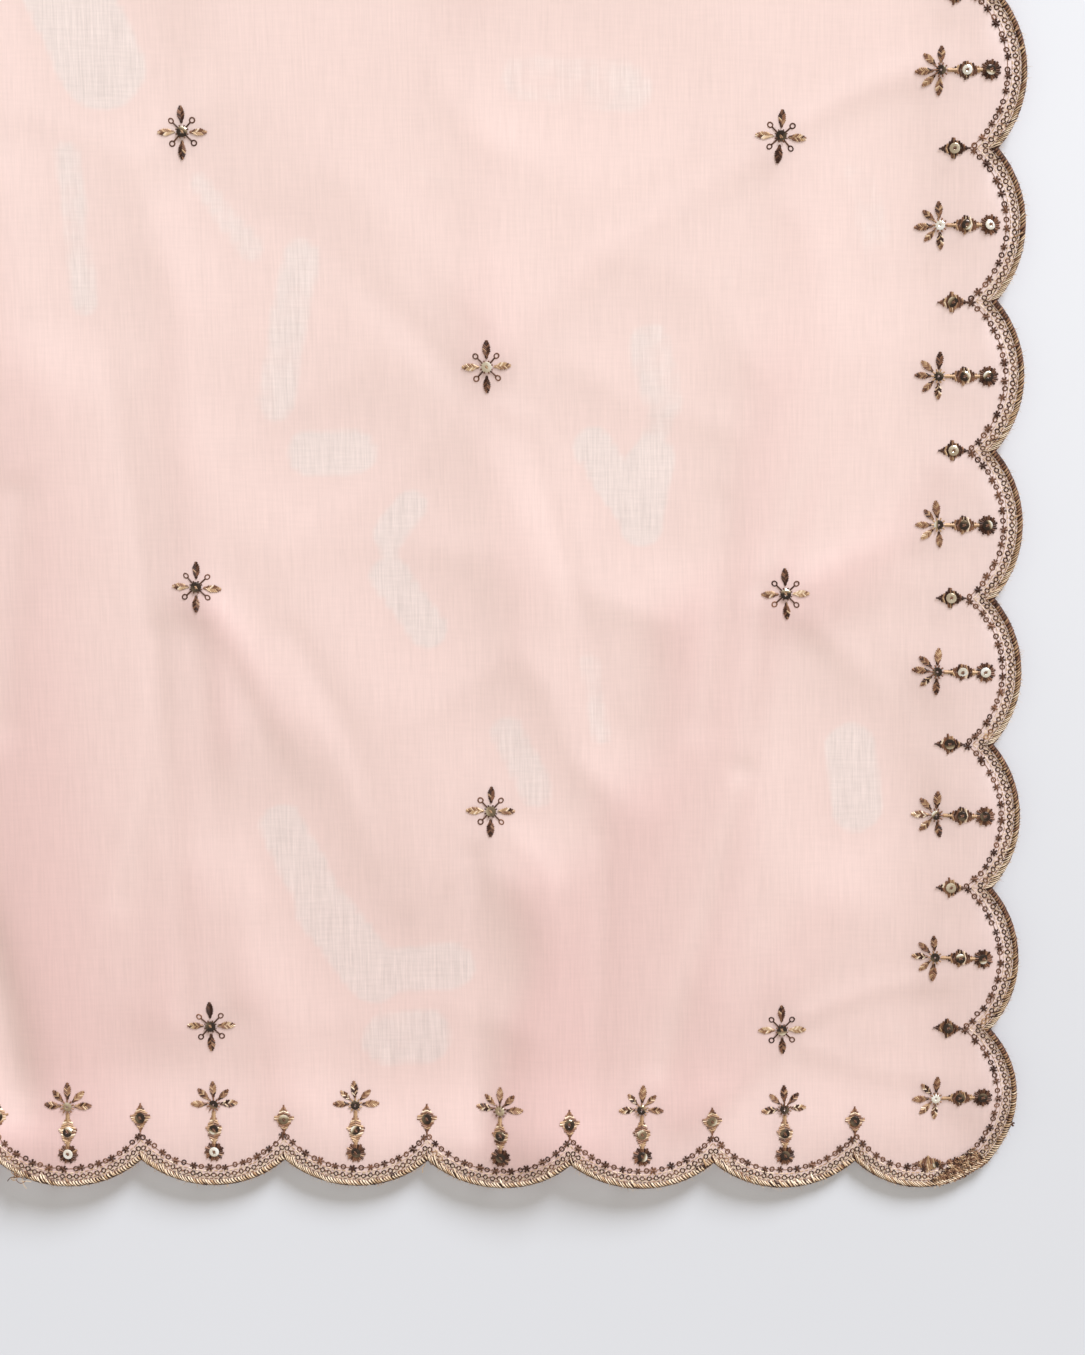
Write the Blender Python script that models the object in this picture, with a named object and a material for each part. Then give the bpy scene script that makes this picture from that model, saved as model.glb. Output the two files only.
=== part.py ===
"""Dupatta stole laid flat: one organza panel inside four scalloped satin edgings.

Metres, +Z up.  The cloth lies on the plane z = 0 with its right side up and its length
along Y.  Its outline is worked out in a flat "cloth frame" whose origin is the middle of the
cloth, and the finished pieces are then given the slight skew of the weave.
"""
import math
from collections import namedtuple

import bmesh
import bpy
import numpy as np
from mathutils import Vector

# Outline
PITCH = 0.065              # one scallop, notch to notch
SCALLOPS_ACROSS = 15       # along the foot and the head
SCALLOPS_ALONG = 37        # along each side
CORNER_ACROSS = 0.0614     # notch to corner along the foot and the head
CORNER_ALONG = 0.063       # notch to corner along each side
CORNER_PUSH = 0.0035       # how far the lobe at a corner is fuller than its two arcs
SCALLOP_RISE = 0.012       # depth of a scallop outside its notches
SCALLOP_STEPS = 6          # straight steps in one scallop
WIDTH = (SCALLOPS_ACROSS - 2) * PITCH + 2 * CORNER_ACROSS
LENGTH = (SCALLOPS_ALONG - 2) * PITCH + 2 * CORNER_ALONG
SKEW = 0.0214              # drop of the weft for each metre to the right

# Cloth and edging
WALL = 0.0012
EDGING_WIDTH = 0.003
EDGING_HEIGHT = 0.0016
EDGING_TAPER = 0.0005      # how much narrower the edging's top is, on each side
SEAM_GAP = 0.0003

# The panel's net of folds
CELL_ACROSS = 0.030
CELL_ALONG = 0.042
NET_SHIFT = 0.0043         # keeps the net's lines off the notches
REST_HEIGHT = 0.0018       # height of the underside where no fold lifts it
EDGE_LIFT = 0.0037         # how much higher the stiff sewn edge lies
EDGE_LIFT_WIDTH = 0.045    # how far in from the notches the edge starts to rise
TOUCH_RISE = 0.045         # how far from a touching place the cloth has risen again

# Folds run from one place to another.  Places are distances from the right side's and the
# foot's notch lines; bend bows a fold to its left; height is that of the ridge.
Fold = namedtuple("Fold", "right foot to_right to_foot bend half_width to_half_width height to_height")
FOLDS = (
    Fold(0.434, 0.430, 0.442, 0.020, 0.000, 0.022, 0.054, 0.0014, 0.0050),
    Fold(0.425, 0.440, 0.403, 0.280, 0.000, 0.014, 0.018, 0.0008, 0.0013),
    Fold(0.364, 0.444, 0.355, 0.262, 0.000, 0.014, 0.011, 0.0009, 0.0012),
    Fold(0.347, 0.251, 0.252, 0.098, 0.004, 0.009, 0.014, 0.0011, 0.0010),
    Fold(0.358, 0.251, 0.373, 0.070, 0.010, 0.012, 0.020, 0.0013, 0.0018),
    Fold(0.344, 0.238, 0.322, 0.030, 0.000, 0.010, 0.016, 0.0009, 0.0014),
    Fold(0.221, 0.560, 0.224, 0.365, 0.000, 0.020, 0.014, 0.0015, 0.0018),
    Fold(0.228, 0.348, 0.184, 0.180, -0.008, 0.016, 0.028, 0.0004, 0.0024),
    Fold(0.076, 0.440, 0.202, 0.020, 0.004, 0.020, 0.040, 0.0017, 0.0038),
    Fold(0.100, 0.262, 0.142, 0.030, 0.006, 0.012, 0.018, 0.0012, 0.0018),
    Fold(0.027, 0.222, 0.128, 0.036, 0.008, 0.014, 0.016, 0.0010, 0.0016),
    Fold(0.210, 0.163, 0.206, 0.010, 0.000, 0.014, 0.020, 0.0018, 0.0031),
    Fold(0.024, 0.312, 0.086, 0.252, 0.003, 0.012, 0.014, 0.0013, 0.0014),
    Fold(0.044, 0.268, 0.072, 0.258, 0.000, 0.013, 0.014, 0.0010, 0.0014),
    Fold(0.024, 0.176, 0.032, 0.146, 0.000, 0.013, 0.013, 0.0008, 0.0008),
    Fold(0.118, 0.082, 0.032, 0.048, 0.000, 0.020, 0.018, 0.0010, 0.0008),
    Fold(0.185, -0.006, 0.130, -0.006, 0.000, 0.018, 0.018, 0.0013, 0.0013),
)
# The same folds again, turned and shifted, under the rest of the cloth.  A copy turned half
# round counts its places from the left side and the head.
FoldCopy = namedtuple("FoldCopy", "turned shift_right shift_foot strength")
FOLD_COPIES = (
    FoldCopy(False, 0.000, 0.000, 1.00),
    FoldCopy(True, 0.000, 0.000, 0.95),
    FoldCopy(False, 0.460, 0.300, 0.80),
    FoldCopy(True, 0.450, 0.340, 0.85),
    FoldCopy(False, 0.030, 0.580, 0.75),
    FoldCopy(True, 0.020, 0.610, 0.80),
    FoldCopy(False, 0.400, 0.900, 0.75),
    FoldCopy(True, 0.410, 0.930, 0.70),
    FoldCopy(False, 0.060, 1.190, 0.75),
    FoldCopy(True, 0.050, 1.160, 0.75),
)

# Places where the cloth lies on the table, as long rounds from one point to another.
Touch = namedtuple("Touch", "right foot to_right to_foot half_width")
TOUCHES = (
    Touch(0.410, 0.540, 0.380, 0.490, 0.030),
    Touch(0.181, 0.331, 0.163, 0.300, 0.014),
    Touch(0.312, 0.140, 0.283, 0.089, 0.012),
    Touch(0.190, 0.500, 0.150, 0.480, 0.016),
    Touch(0.700, 0.500, 0.640, 0.640, 0.060),
    Touch(0.300, 0.780, 0.250, 0.860, 0.055),
    Touch(0.640, 0.960, 0.600, 1.080, 0.060),
    Touch(0.470, 1.120, 0.430, 1.280, 0.075),
    Touch(0.240, 1.350, 0.280, 1.440, 0.060),
    Touch(0.680, 1.560, 0.640, 1.660, 0.055),
    Touch(0.280, 1.820, 0.330, 1.960, 0.060),
    Touch(0.650, 2.080, 0.700, 2.160, 0.050),
    Touch(0.180, 2.200, 0.230, 2.260, 0.045),
)

ORGANZA = ("organza", (0.93, 0.78, 0.74, 1.0), 0.7, 0.0)
SATIN_THREAD = ("satin_thread", (0.20, 0.11, 0.07, 1.0), 0.45, 0.3)


def clear_scene():
    """Remove every object of the open scene."""
    for thing in list(bpy.data.objects):
        bpy.data.objects.remove(thing, do_unlink=True)


def make_material(name, colour, roughness, metallic):
    """A plain Principled material."""
    material = bpy.data.materials.new(name)
    material.use_nodes = True
    shader = material.node_tree.nodes["Principled BSDF"]
    shader.inputs["Base Color"].default_value = colour
    shader.inputs["Roughness"].default_value = roughness
    shader.inputs["Metallic"].default_value = metallic
    return material


# ---------------------------------------------------------------- outline

def scallop(start, end):
    """Stations (point, inward direction) of one arc from start up to, not including, end.

    The arc bulges to the right of the way from start to end, which is outwards when the
    outline is followed anticlockwise.
    """
    chord = end - start
    along = chord.normalized()
    outward = Vector((along.y, -along.x))
    radius = (chord.length ** 2 / 4 + SCALLOP_RISE ** 2) / (2 * SCALLOP_RISE)
    centre = (start + end) / 2 - outward * (radius - SCALLOP_RISE)
    half_angle = math.asin(chord.length / 2 / radius)
    stations = [(start, -outward)]
    for step in range(1, SCALLOP_STEPS):
        angle = half_angle * (2 * step / SCALLOP_STEPS - 1)
        spoke = along * math.sin(angle) + outward * math.cos(angle)
        stations.append((centre + spoke * radius, -spoke))
    return stations


def notch_places(count, corner, whole):
    """Distances of the notches along one side, from corner to corner."""
    inner = [corner + PITCH * step for step in range(count - 1)]
    return [0.0, *inner, whole]


def side_stations(start, end, count, corner):
    """Stations along one side of the cloth, both corners included."""
    along = (end - start).normalized()
    inward = Vector((-along.y, along.x))
    whole = (end - start).length
    notches = [start + along * place for place in notch_places(count, corner, whole)]
    first_diagonal = (along + inward).normalized()
    last_diagonal = (inward - along).normalized()
    notches[0] = start - first_diagonal * CORNER_PUSH
    notches[-1] = end - last_diagonal * CORNER_PUSH
    stations = []
    for first, second in zip(notches, notches[1:]):
        stations.extend(scallop(first, second))
    stations[0] = (notches[0], first_diagonal)
    stations.append((notches[-1], last_diagonal))
    return stations


def outline_sides():
    """The four sides' stations, anticlockwise, by the name of their edging."""
    foot_left = Vector((-WIDTH / 2, -LENGTH / 2))
    foot_right = Vector((WIDTH / 2, -LENGTH / 2))
    head_right = Vector((WIDTH / 2, LENGTH / 2))
    head_left = Vector((-WIDTH / 2, LENGTH / 2))
    return {
        "edging_foot": side_stations(foot_left, foot_right, SCALLOPS_ACROSS, CORNER_ACROSS),
        "edging_right": side_stations(foot_right, head_right, SCALLOPS_ALONG, CORNER_ALONG),
        "edging_head": side_stations(head_right, head_left, SCALLOPS_ACROSS, CORNER_ACROSS),
        "edging_left": side_stations(head_left, foot_left, SCALLOPS_ALONG, CORNER_ALONG),
    }


# ---------------------------------------------------------------- lie of the cloth

def fold_height(fold, right, foot):
    """Height that one fold adds at each place."""
    run_right = fold.to_right - fold.right
    run_foot = fold.to_foot - fold.foot
    run = math.hypot(run_right, run_foot)
    from_right = right - fold.right
    from_foot = foot - fold.foot
    along = (from_right * run_right + from_foot * run_foot) / run
    aside = (from_right * run_foot - from_foot * run_right) / run
    share = np.clip(along / run, 0.0, 1.0)
    beyond = along - share * run
    aside = aside - fold.bend * 4 * share * (1 - share)
    half_width = fold.half_width + (fold.to_half_width - fold.half_width) * share
    height = fold.height + (fold.to_height - fold.height) * share
    return height * np.exp(-(aside ** 2 + beyond ** 2) / half_width ** 2)


def touch_share(touch, right, foot):
    """1 where the cloth lies on the table in this place, falling to 0 outside it."""
    run_right = touch.to_right - touch.right
    run_foot = touch.to_foot - touch.foot
    from_right = right - touch.right
    from_foot = foot - touch.foot
    share = (from_right * run_right + from_foot * run_foot) / (run_right ** 2 + run_foot ** 2)
    share = np.clip(share, 0.0, 1.0)
    distance = np.hypot(from_right - share * run_right, from_foot - share * run_foot)
    fall = np.clip((distance - touch.half_width) / TOUCH_RISE, 0.0, 1.0)
    return 1 - fall * fall * (3 - 2 * fall)


def edge_height(x, y):
    """Height that the stiff edge adds at places in the cloth frame."""
    from_side = WIDTH / 2 - np.abs(x)
    from_end = LENGTH / 2 - np.abs(y)
    nearness = np.clip(1 - np.minimum(from_side, from_end) / EDGE_LIFT_WIDTH, 0.0, 1.0)
    return EDGE_LIFT * nearness * nearness * (3 - 2 * nearness)


def cloth_height(x, y):
    """Height of the cloth's underside at places in the cloth frame."""
    right = WIDTH / 2 - x
    foot = LENGTH / 2 + y
    height = REST_HEIGHT + edge_height(x, y)
    for copy in FOLD_COPIES:
        own_right = WIDTH - right if copy.turned else right
        own_foot = LENGTH - foot if copy.turned else foot
        own_right = own_right - copy.shift_right
        own_foot = own_foot - copy.shift_foot
        for fold in FOLDS:
            height = height + copy.strength * fold_height(fold, own_right, own_foot)
    shares = [touch_share(touch, right, foot) for touch in TOUCHES]
    height = height * (1 - np.max(shares, axis=0))
    return np.where(height < 1e-5, 0.0, height)


def lay_down(bm):
    """Lift a flat mesh to the lie of the cloth and give it the weave's skew."""
    places = np.array([vert.co[:2] for vert in bm.verts])
    heights = cloth_height(places[:, 0], places[:, 1])
    for vert, height in zip(bm.verts, heights):
        vert.co = (vert.co.x, vert.co.y - SKEW * vert.co.x, height)


def thicken(bm, thickness):
    """Turn an open sheet that faces down into a wall standing on it."""
    region = bmesh.ops.extrude_face_region(bm, geom=bm.faces[:])
    raised = [item for item in region["geom"] if isinstance(item, bmesh.types.BMVert)]
    bmesh.ops.translate(bm, verts=raised, vec=(0, 0, thickness))
    bmesh.ops.recalc_face_normals(bm, faces=bm.faces[:])
    return raised


def finish_object(name, bm, material, collection):
    """Make an object of the mesh."""
    mesh = bpy.data.meshes.new(name)
    bm.to_mesh(mesh)
    bm.free()
    mesh.materials.append(material)
    thing = bpy.data.objects.new(name, mesh)
    collection.objects.link(thing)
    return thing


# ---------------------------------------------------------------- panel

def panel_outline(sides):
    """The panel's own outline: the cloth's, less the edging and the seam's gap."""
    inset = EDGING_WIDTH + SEAM_GAP
    return [point + inward * inset for stations in sides.values() for point, inward in stations[:-1]]


def outline_slab(points, collection):
    """A slab with the panel's outline, from a filled 2D curve."""
    curve = bpy.data.curves.new("panel_outline", "CURVE")
    curve.dimensions = "2D"
    curve.fill_mode = "BOTH"
    curve.extrude = WALL
    spline = curve.splines.new("POLY")
    spline.points.add(len(points) - 1)
    for control, point in zip(spline.points, points):
        control.co = (point.x, point.y, 0, 1)
    spline.use_cyclic_u = True
    guide = bpy.data.objects.new("panel_outline", curve)
    collection.objects.link(guide)
    graph = bpy.context.evaluated_depsgraph_get()
    mesh = bpy.data.meshes.new_from_object(guide.evaluated_get(graph))
    bpy.data.objects.remove(guide)
    bm = bmesh.new()
    bm.from_mesh(mesh)
    bmesh.ops.remove_doubles(bm, verts=bm.verts[:], dist=1e-5)
    bmesh.ops.recalc_face_normals(bm, faces=bm.faces[:])
    bm.to_mesh(mesh)
    bm.free()
    slab = bpy.data.objects.new("panel_slab", mesh)
    collection.objects.link(slab)
    return slab


def net_slab(collection):
    """A slab larger than the panel, divided into the net's cells."""
    across = math.ceil(WIDTH / CELL_ACROSS) + 1
    along = math.ceil(LENGTH / CELL_ALONG) + 1
    bm = bmesh.new()
    bmesh.ops.create_grid(bm, x_segments=across, y_segments=along, size=0.5)
    bmesh.ops.scale(bm, verts=bm.verts[:], vec=(across * CELL_ACROSS, along * CELL_ALONG, 1))
    bmesh.ops.translate(bm, verts=bm.verts[:], vec=(NET_SHIFT, NET_SHIFT, 0))
    thicken(bm, 3 * WALL)
    mesh = bpy.data.meshes.new("net_slab")
    bm.to_mesh(mesh)
    bm.free()
    slab = bpy.data.objects.new("net_slab", mesh)
    collection.objects.link(slab)
    return slab


def trimmed_net(sides, collection):
    """The net, flat and facing down, trimmed to the panel's outline."""
    outline = outline_slab(panel_outline(sides), collection)
    net = net_slab(collection)
    trim = net.modifiers.new("trim", "BOOLEAN")
    trim.operation = "INTERSECT"
    trim.solver = "EXACT"
    trim.object = outline
    graph = bpy.context.evaluated_depsgraph_get()
    mesh = bpy.data.meshes.new_from_object(net.evaluated_get(graph))
    bpy.data.objects.remove(net)
    bpy.data.objects.remove(outline)
    bm = bmesh.new()
    bm.from_mesh(mesh)
    bpy.data.meshes.remove(mesh)
    others = [face for face in bm.faces if face.normal.z > -0.5]
    bmesh.ops.delete(bm, geom=others, context="FACES")
    bmesh.ops.triangulate(bm, faces=bm.faces[:])
    return bm


def build_panel(sides, material, collection):
    """The organza panel, with its folds."""
    bm = trimmed_net(sides, collection)
    lay_down(bm)
    thicken(bm, WALL)
    return finish_object("panel", bm, material, collection)


# ---------------------------------------------------------------- edgings

def build_edging(name, stations, material, collection):
    """One side's satin-stitched edging, a flat cord that follows the scallops."""
    half_gap = SEAM_GAP / 2
    first_point, first_inward = stations[0]
    last_point, last_inward = stations[-1]
    first_point = first_point + Vector((first_inward.y, -first_inward.x)) * half_gap
    last_point = last_point + Vector((-last_inward.y, last_inward.x)) * half_gap
    trimmed = [(first_point, first_inward), *stations[1:-1], (last_point, last_inward)]
    bm = bmesh.new()
    inward_at = bm.verts.layers.float_vector.new("inward")
    outer = []
    for point, inward in trimmed:
        vert = bm.verts.new((point.x, point.y, 0))
        vert[inward_at] = (inward.x, inward.y, 0)
        outer.append(vert)
    for first, second in zip(outer, outer[1:]):
        bm.edges.new((first, second))
    strip = bmesh.ops.extrude_edge_only(bm, edges=bm.edges[:])
    inner = [item for item in strip["geom"] if isinstance(item, bmesh.types.BMVert)]
    for vert in inner:
        vert.co += vert[inward_at] * EDGING_WIDTH
        vert[inward_at] = -vert[inward_at]
    lay_down(bm)
    for vert in thicken(bm, EDGING_HEIGHT):
        vert.co += vert[inward_at] * EDGING_TAPER
    return finish_object(name, bm, material, collection)


def main():
    """Build the dupatta."""
    clear_scene()
    collection = bpy.data.collections.new("dupatta_stole")
    bpy.context.scene.collection.children.link(collection)
    organza = make_material(*ORGANZA)
    satin = make_material(*SATIN_THREAD)
    sides = outline_sides()
    build_panel(sides, organza, collection)
    for name, stations in sides.items():
        build_edging(name, stations, satin, collection)


main()
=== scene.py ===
"""Looks of a dupatta stole laid flat: sheer organza, satin edgings, embroidery and sequins.

Shapes are first worked out in a flat "cloth frame" in metres, whose origin is the middle of
the cloth.  They are then given the weave's slight skew and laid on the folds of the cloth.
"""
import functools
import math
from collections import namedtuple

import bmesh
import bpy
import numpy as np
from bpy.props import FloatProperty, FloatVectorProperty, IntProperty, PointerProperty
from mathutils import Matrix, Vector


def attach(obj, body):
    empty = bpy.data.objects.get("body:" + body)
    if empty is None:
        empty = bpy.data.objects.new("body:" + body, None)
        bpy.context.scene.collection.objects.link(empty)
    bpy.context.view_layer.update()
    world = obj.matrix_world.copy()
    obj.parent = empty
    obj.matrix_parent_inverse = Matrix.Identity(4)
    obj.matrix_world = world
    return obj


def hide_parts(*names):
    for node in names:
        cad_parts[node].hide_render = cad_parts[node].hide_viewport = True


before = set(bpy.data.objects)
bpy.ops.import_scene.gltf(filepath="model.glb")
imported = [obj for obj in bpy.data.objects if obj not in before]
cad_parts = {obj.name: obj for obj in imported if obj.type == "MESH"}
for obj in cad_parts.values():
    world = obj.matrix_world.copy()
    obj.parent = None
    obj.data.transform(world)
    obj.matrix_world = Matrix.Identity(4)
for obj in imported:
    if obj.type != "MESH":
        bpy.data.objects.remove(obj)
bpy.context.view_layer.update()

bl_info = {
    "name": "Dupatta stole",
    "version": (1, 0, 0),
    "blender": (4, 5, 0),
    "location": "View3D > Sidebar > Stole",
    "description": "Builds the cloth, edgings, embroidery and sequins of a dupatta stole",
    "category": "Object",
}

SIDES = ("foot", "right", "head", "left")


# ---------------------------------------------------------------- settings

def length(name, description, default):
    """A length property in metres."""
    return FloatProperty(name=name, description=description, default=default, unit="LENGTH", precision=5)


def count(name, description, default):
    """A property that counts things."""
    return IntProperty(name=name, description=description, default=default)


def plain(name, description, default):
    """A property with no unit."""
    return FloatProperty(name=name, description=description, default=default, precision=4)


def angle(name, description, degrees):
    """An angle property."""
    return FloatProperty(name=name, description=description, default=math.radians(degrees), unit="ROTATION")


def colour(name, description, default):
    """A colour property."""
    return FloatVectorProperty(name=name, description=description, default=default, size=3,
                               subtype="COLOR", min=0.0, max=1.0)


class StoleCut(bpy.types.PropertyGroup):
    """Outline of the cloth."""

    pitch: length("Scallop pitch", "One scallop, notch to notch", 0.065)
    across: count("Scallops across", "Scallops along the foot and the head", 15)
    along: count("Scallops along", "Scallops along each side", 37)
    corner_across: length("Corner across", "Notch to corner along the foot and the head", 0.0614)
    corner_along: length("Corner along", "Notch to corner along each side", 0.063)
    corner_push: length("Corner push", "How much fuller a corner's lobe is than its two arcs", 0.0035)
    rise: length("Scallop rise", "Depth of a scallop outside its notches", 0.012)
    skew: plain("Skew", "Drop of the weft for each metre to the right", 0.0214)


class StoleLie(bpy.types.PropertyGroup):
    """How the cloth lies on the table."""

    rest_height: length("Rest height", "Height of the cloth where no fold lifts it", 0.0018)
    edge_lift: length("Edge lift", "How much higher the stiff sewn edge lies", 0.0037)
    edge_lift_width: length("Edge lift width", "How far in the edge starts to rise", 0.045)
    touch_rise: length("Touch rise", "How far from a touching place the cloth has risen again", 0.045)
    touch_blur: length("Touch blur", "How far the look of a touching place takes to fade", 0.007)
    rest_waver: length("Rest waver", "How far the rims of the broad resting places waver", 0.010)
    corner_pull: length("Corner pull", "How far the sewing draws each corner in", 0.0042)
    corner_reach: length("Corner reach", "How far from a corner the cloth is drawn in", 0.038)
    cloth_lift: length("Cloth lift", "Height of the thin cloth over its underside", 0.0004)
    lattice: length("Lattice step", "Spacing of the heights that sewn things are laid on", 0.003)


class StoleSewing(bpy.types.PropertyGroup):
    """Sizes of the edging, the thread lines and the motifs."""

    edging_width: length("Edging width", "Width of the satin edging", 0.0028)
    edging_height: length("Edging height", "Height of the satin edging over the cloth", 0.0011)
    stitch_pitch: length("Stitch pitch", "Spacing of the satin stitches", 0.00066)
    stitch_slant: plain("Stitch slant", "Slant of the satin stitches, 1 being half a right angle", 0.85)
    chain_inset: length("Chain inset", "Middle of the ring chain, in from the outer edge", 0.0050)
    chain_ring: length("Chain ring", "Outer width of a ring of the chain", 0.0027)
    chain_step: length("Chain step", "Spacing of the chain's rings", 0.0031)
    row_inset: length("Row inset", "Middle of the dotted row, in from the outer edge", 0.0087)
    row_step: length("Row step", "Spacing of the dotted row's knots and rings", 0.0039)
    row_ring: length("Row ring", "Outer width of a ring of the dotted row", 0.0028)
    row_knot: length("Row knot", "Width of a star knot of the dotted row", 0.0034)
    spray_inset: length("Spray inset", "Middle of a spray's flower, in from the scallop's tip", 0.0370)
    drop_inset: length("Drop inset", "Middle of a drop, in from its notch", 0.0192)
    motif_row: length("First motif row", "Height of the first field motifs over the foot's notches", 0.0616)
    motif_rows: count("Motif rows", "Rows of field motifs", 24)
    petal: length("Petal", "Length of a petal", 0.0071)
    petal_width: length("Petal width", "Width of a petal", 0.0030)
    sequin: length("Sequin", "Width of a large sequin", 0.0050)


class StoleColours(bpy.types.PropertyGroup):
    """Colours of the cloth, threads, sequins and table."""

    cloth: colour("Organza", "The cloth close over the table", (0.982, 0.783, 0.726))
    # Painted shade: the deeper colour where a fold lifts the cloth stands in for the shade under a lifted
    # sheet
    cloth_lifted_shade: colour("Organza high up", "The cloth where a fold lifts it", (0.928, 0.685, 0.642))
    # Painted light: the paler, greyer colour where the cloth lies on the table stands in for the table's
    # light seen through the weave
    cloth_touch_painted_light: colour("Organza on the table", "The cloth where it lies on the table", (0.950, 0.825, 0.775))
    thread_dark: colour("Dark thread", "Deep brown thread", (0.046, 0.018, 0.011))
    thread_mid: colour("Copper thread", "Copper brown thread", (0.255, 0.120, 0.068))
    thread_gold: colour("Gold thread", "Antique gold thread", (0.54, 0.355, 0.200))
    thread_pale: colour("Pale gold thread", "Gold thread where it shines", (0.88, 0.72, 0.54))
    # Painted reflections: the colours a sequin takes from the dark room to the lamp
    sequin_dark: colour("Dark sequin", "A sequin that mirrors a dark room", (0.035, 0.022, 0.016))
    sequin_bright: colour("Bright sequin", "A sequin that mirrors the lamp", (0.93, 0.92, 0.88))
    table: colour("Table", "The table's surface", (0.70, 0.705, 0.732))


class StoleStudio(bpy.types.PropertyGroup):
    """Camera and light, from the cloth's lower right corner."""

    lens: plain("Lens", "Focal length in millimetres on a 36 mm frame", 50.0)
    camera_left: length("Camera left", "Left of the corner", 0.2009)
    camera_up: length("Camera up the cloth", "Up the cloth from the corner", 0.3069)
    camera_height: length("Camera height", "Over the table", 0.8375)
    tilt: angle("Tilt", "Lean of the camera towards the foot", 5.56)
    roll: angle("Roll", "Turn of the camera about its axis", 0.85)
    key_power: plain("Key power", "Power of the key light in watts on a square metre", 5.0)
    key_breadth: angle("Key breadth", "How wide the far key light looks from the cloth", 20.4)
    key_rise: angle("Key rise", "Height of the key light over the table", 24)
    key_side: angle("Key side", "Turn of the key light from the head towards the right", 24)
    key_colour: colour("Key colour", "Colour of the key light", (0.87, 0.92, 1.0))
    fill: plain("Fill", "Strength of the even light", 0.735)
    fill_colour: colour("Fill colour", "Colour of the even light", (1.0, 0.95, 0.875))


GROUPS = {
    "stole_cut": StoleCut,
    "stole_lie": StoleLie,
    "stole_sewing": StoleSewing,
    "stole_colours": StoleColours,
    "stole_studio": StoleStudio,
}


# Where each kind of sewing starts its own random draws
SEEDS = {
    "foot": 20,
    "right": 21,
    "head": 22,
    "left": 23,
    "fuzz": 41,
    "chain": 42,
    "running": 43,
    "row": 44,
    "sprays": 45,
    "drops": 46,
    "field": 47,
    "chain bed": 48,
    "corners": 49,
    "loose threads": 50,
}


def draws(kind):
    """The random draws of one kind of sewing."""
    return np.random.default_rng(SEEDS[kind])


def cut():
    """The outline's settings."""
    return bpy.context.scene.stole_cut


def lie():
    """The settings of how the cloth lies."""
    return bpy.context.scene.stole_lie


def sewing():
    """The sewing's settings."""
    return bpy.context.scene.stole_sewing


def colours():
    """The colour settings."""
    return bpy.context.scene.stole_colours


def cloth_size():
    """Width and length of the cloth between its notch lines."""
    own = cut()
    width = (own.across - 2) * own.pitch + 2 * own.corner_across
    whole = (own.along - 2) * own.pitch + 2 * own.corner_along
    return width, whole


# ---------------------------------------------------------------- folds

# Folds run from one place to another.  Places are distances from the right side's and the
# foot's notch lines; bend bows a fold to its left; height is that of the ridge, or less than
# nothing for a trough.
Fold = namedtuple("Fold", "right foot to_right to_foot bend half_width to_half_width height to_height")
FOLDS = (
    Fold(0.434, 0.430, 0.442, 0.020, 0.000, 0.022, 0.054, 0.0014, 0.0050),
    Fold(0.425, 0.440, 0.403, 0.280, 0.000, 0.014, 0.018, 0.0008, 0.0013),
    Fold(0.364, 0.444, 0.355, 0.262, 0.000, 0.014, 0.011, 0.0009, 0.0012),
    Fold(0.347, 0.251, 0.252, 0.098, 0.004, 0.009, 0.014, 0.0011, 0.0010),
    Fold(0.358, 0.251, 0.373, 0.070, 0.010, 0.012, 0.020, 0.0013, 0.0018),
    Fold(0.344, 0.238, 0.322, 0.030, 0.000, 0.010, 0.016, 0.0009, 0.0014),
    Fold(0.221, 0.560, 0.224, 0.365, 0.000, 0.020, 0.014, 0.0015, 0.0018),
    Fold(0.228, 0.348, 0.184, 0.180, -0.008, 0.016, 0.028, 0.0004, 0.0024),
    Fold(0.076, 0.440, 0.202, 0.020, 0.004, 0.020, 0.040, 0.0017, 0.0038),
    Fold(0.100, 0.262, 0.142, 0.030, 0.006, 0.012, 0.018, 0.0012, 0.0018),
    Fold(0.027, 0.222, 0.128, 0.036, 0.008, 0.014, 0.016, 0.0010, 0.0016),
    Fold(0.210, 0.163, 0.206, 0.010, 0.000, 0.014, 0.020, 0.0018, 0.0031),
    Fold(0.024, 0.312, 0.086, 0.252, 0.003, 0.012, 0.014, 0.0013, 0.0014),
    Fold(0.044, 0.268, 0.072, 0.258, 0.000, 0.013, 0.014, 0.0010, 0.0014),
    Fold(0.024, 0.176, 0.032, 0.146, 0.000, 0.013, 0.013, 0.0008, 0.0008),
    Fold(0.118, 0.082, 0.032, 0.048, 0.000, 0.020, 0.018, 0.0010, 0.0008),
    Fold(0.185, -0.006, 0.130, -0.006, 0.000, 0.018, 0.018, 0.0013, 0.0013),
)
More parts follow.
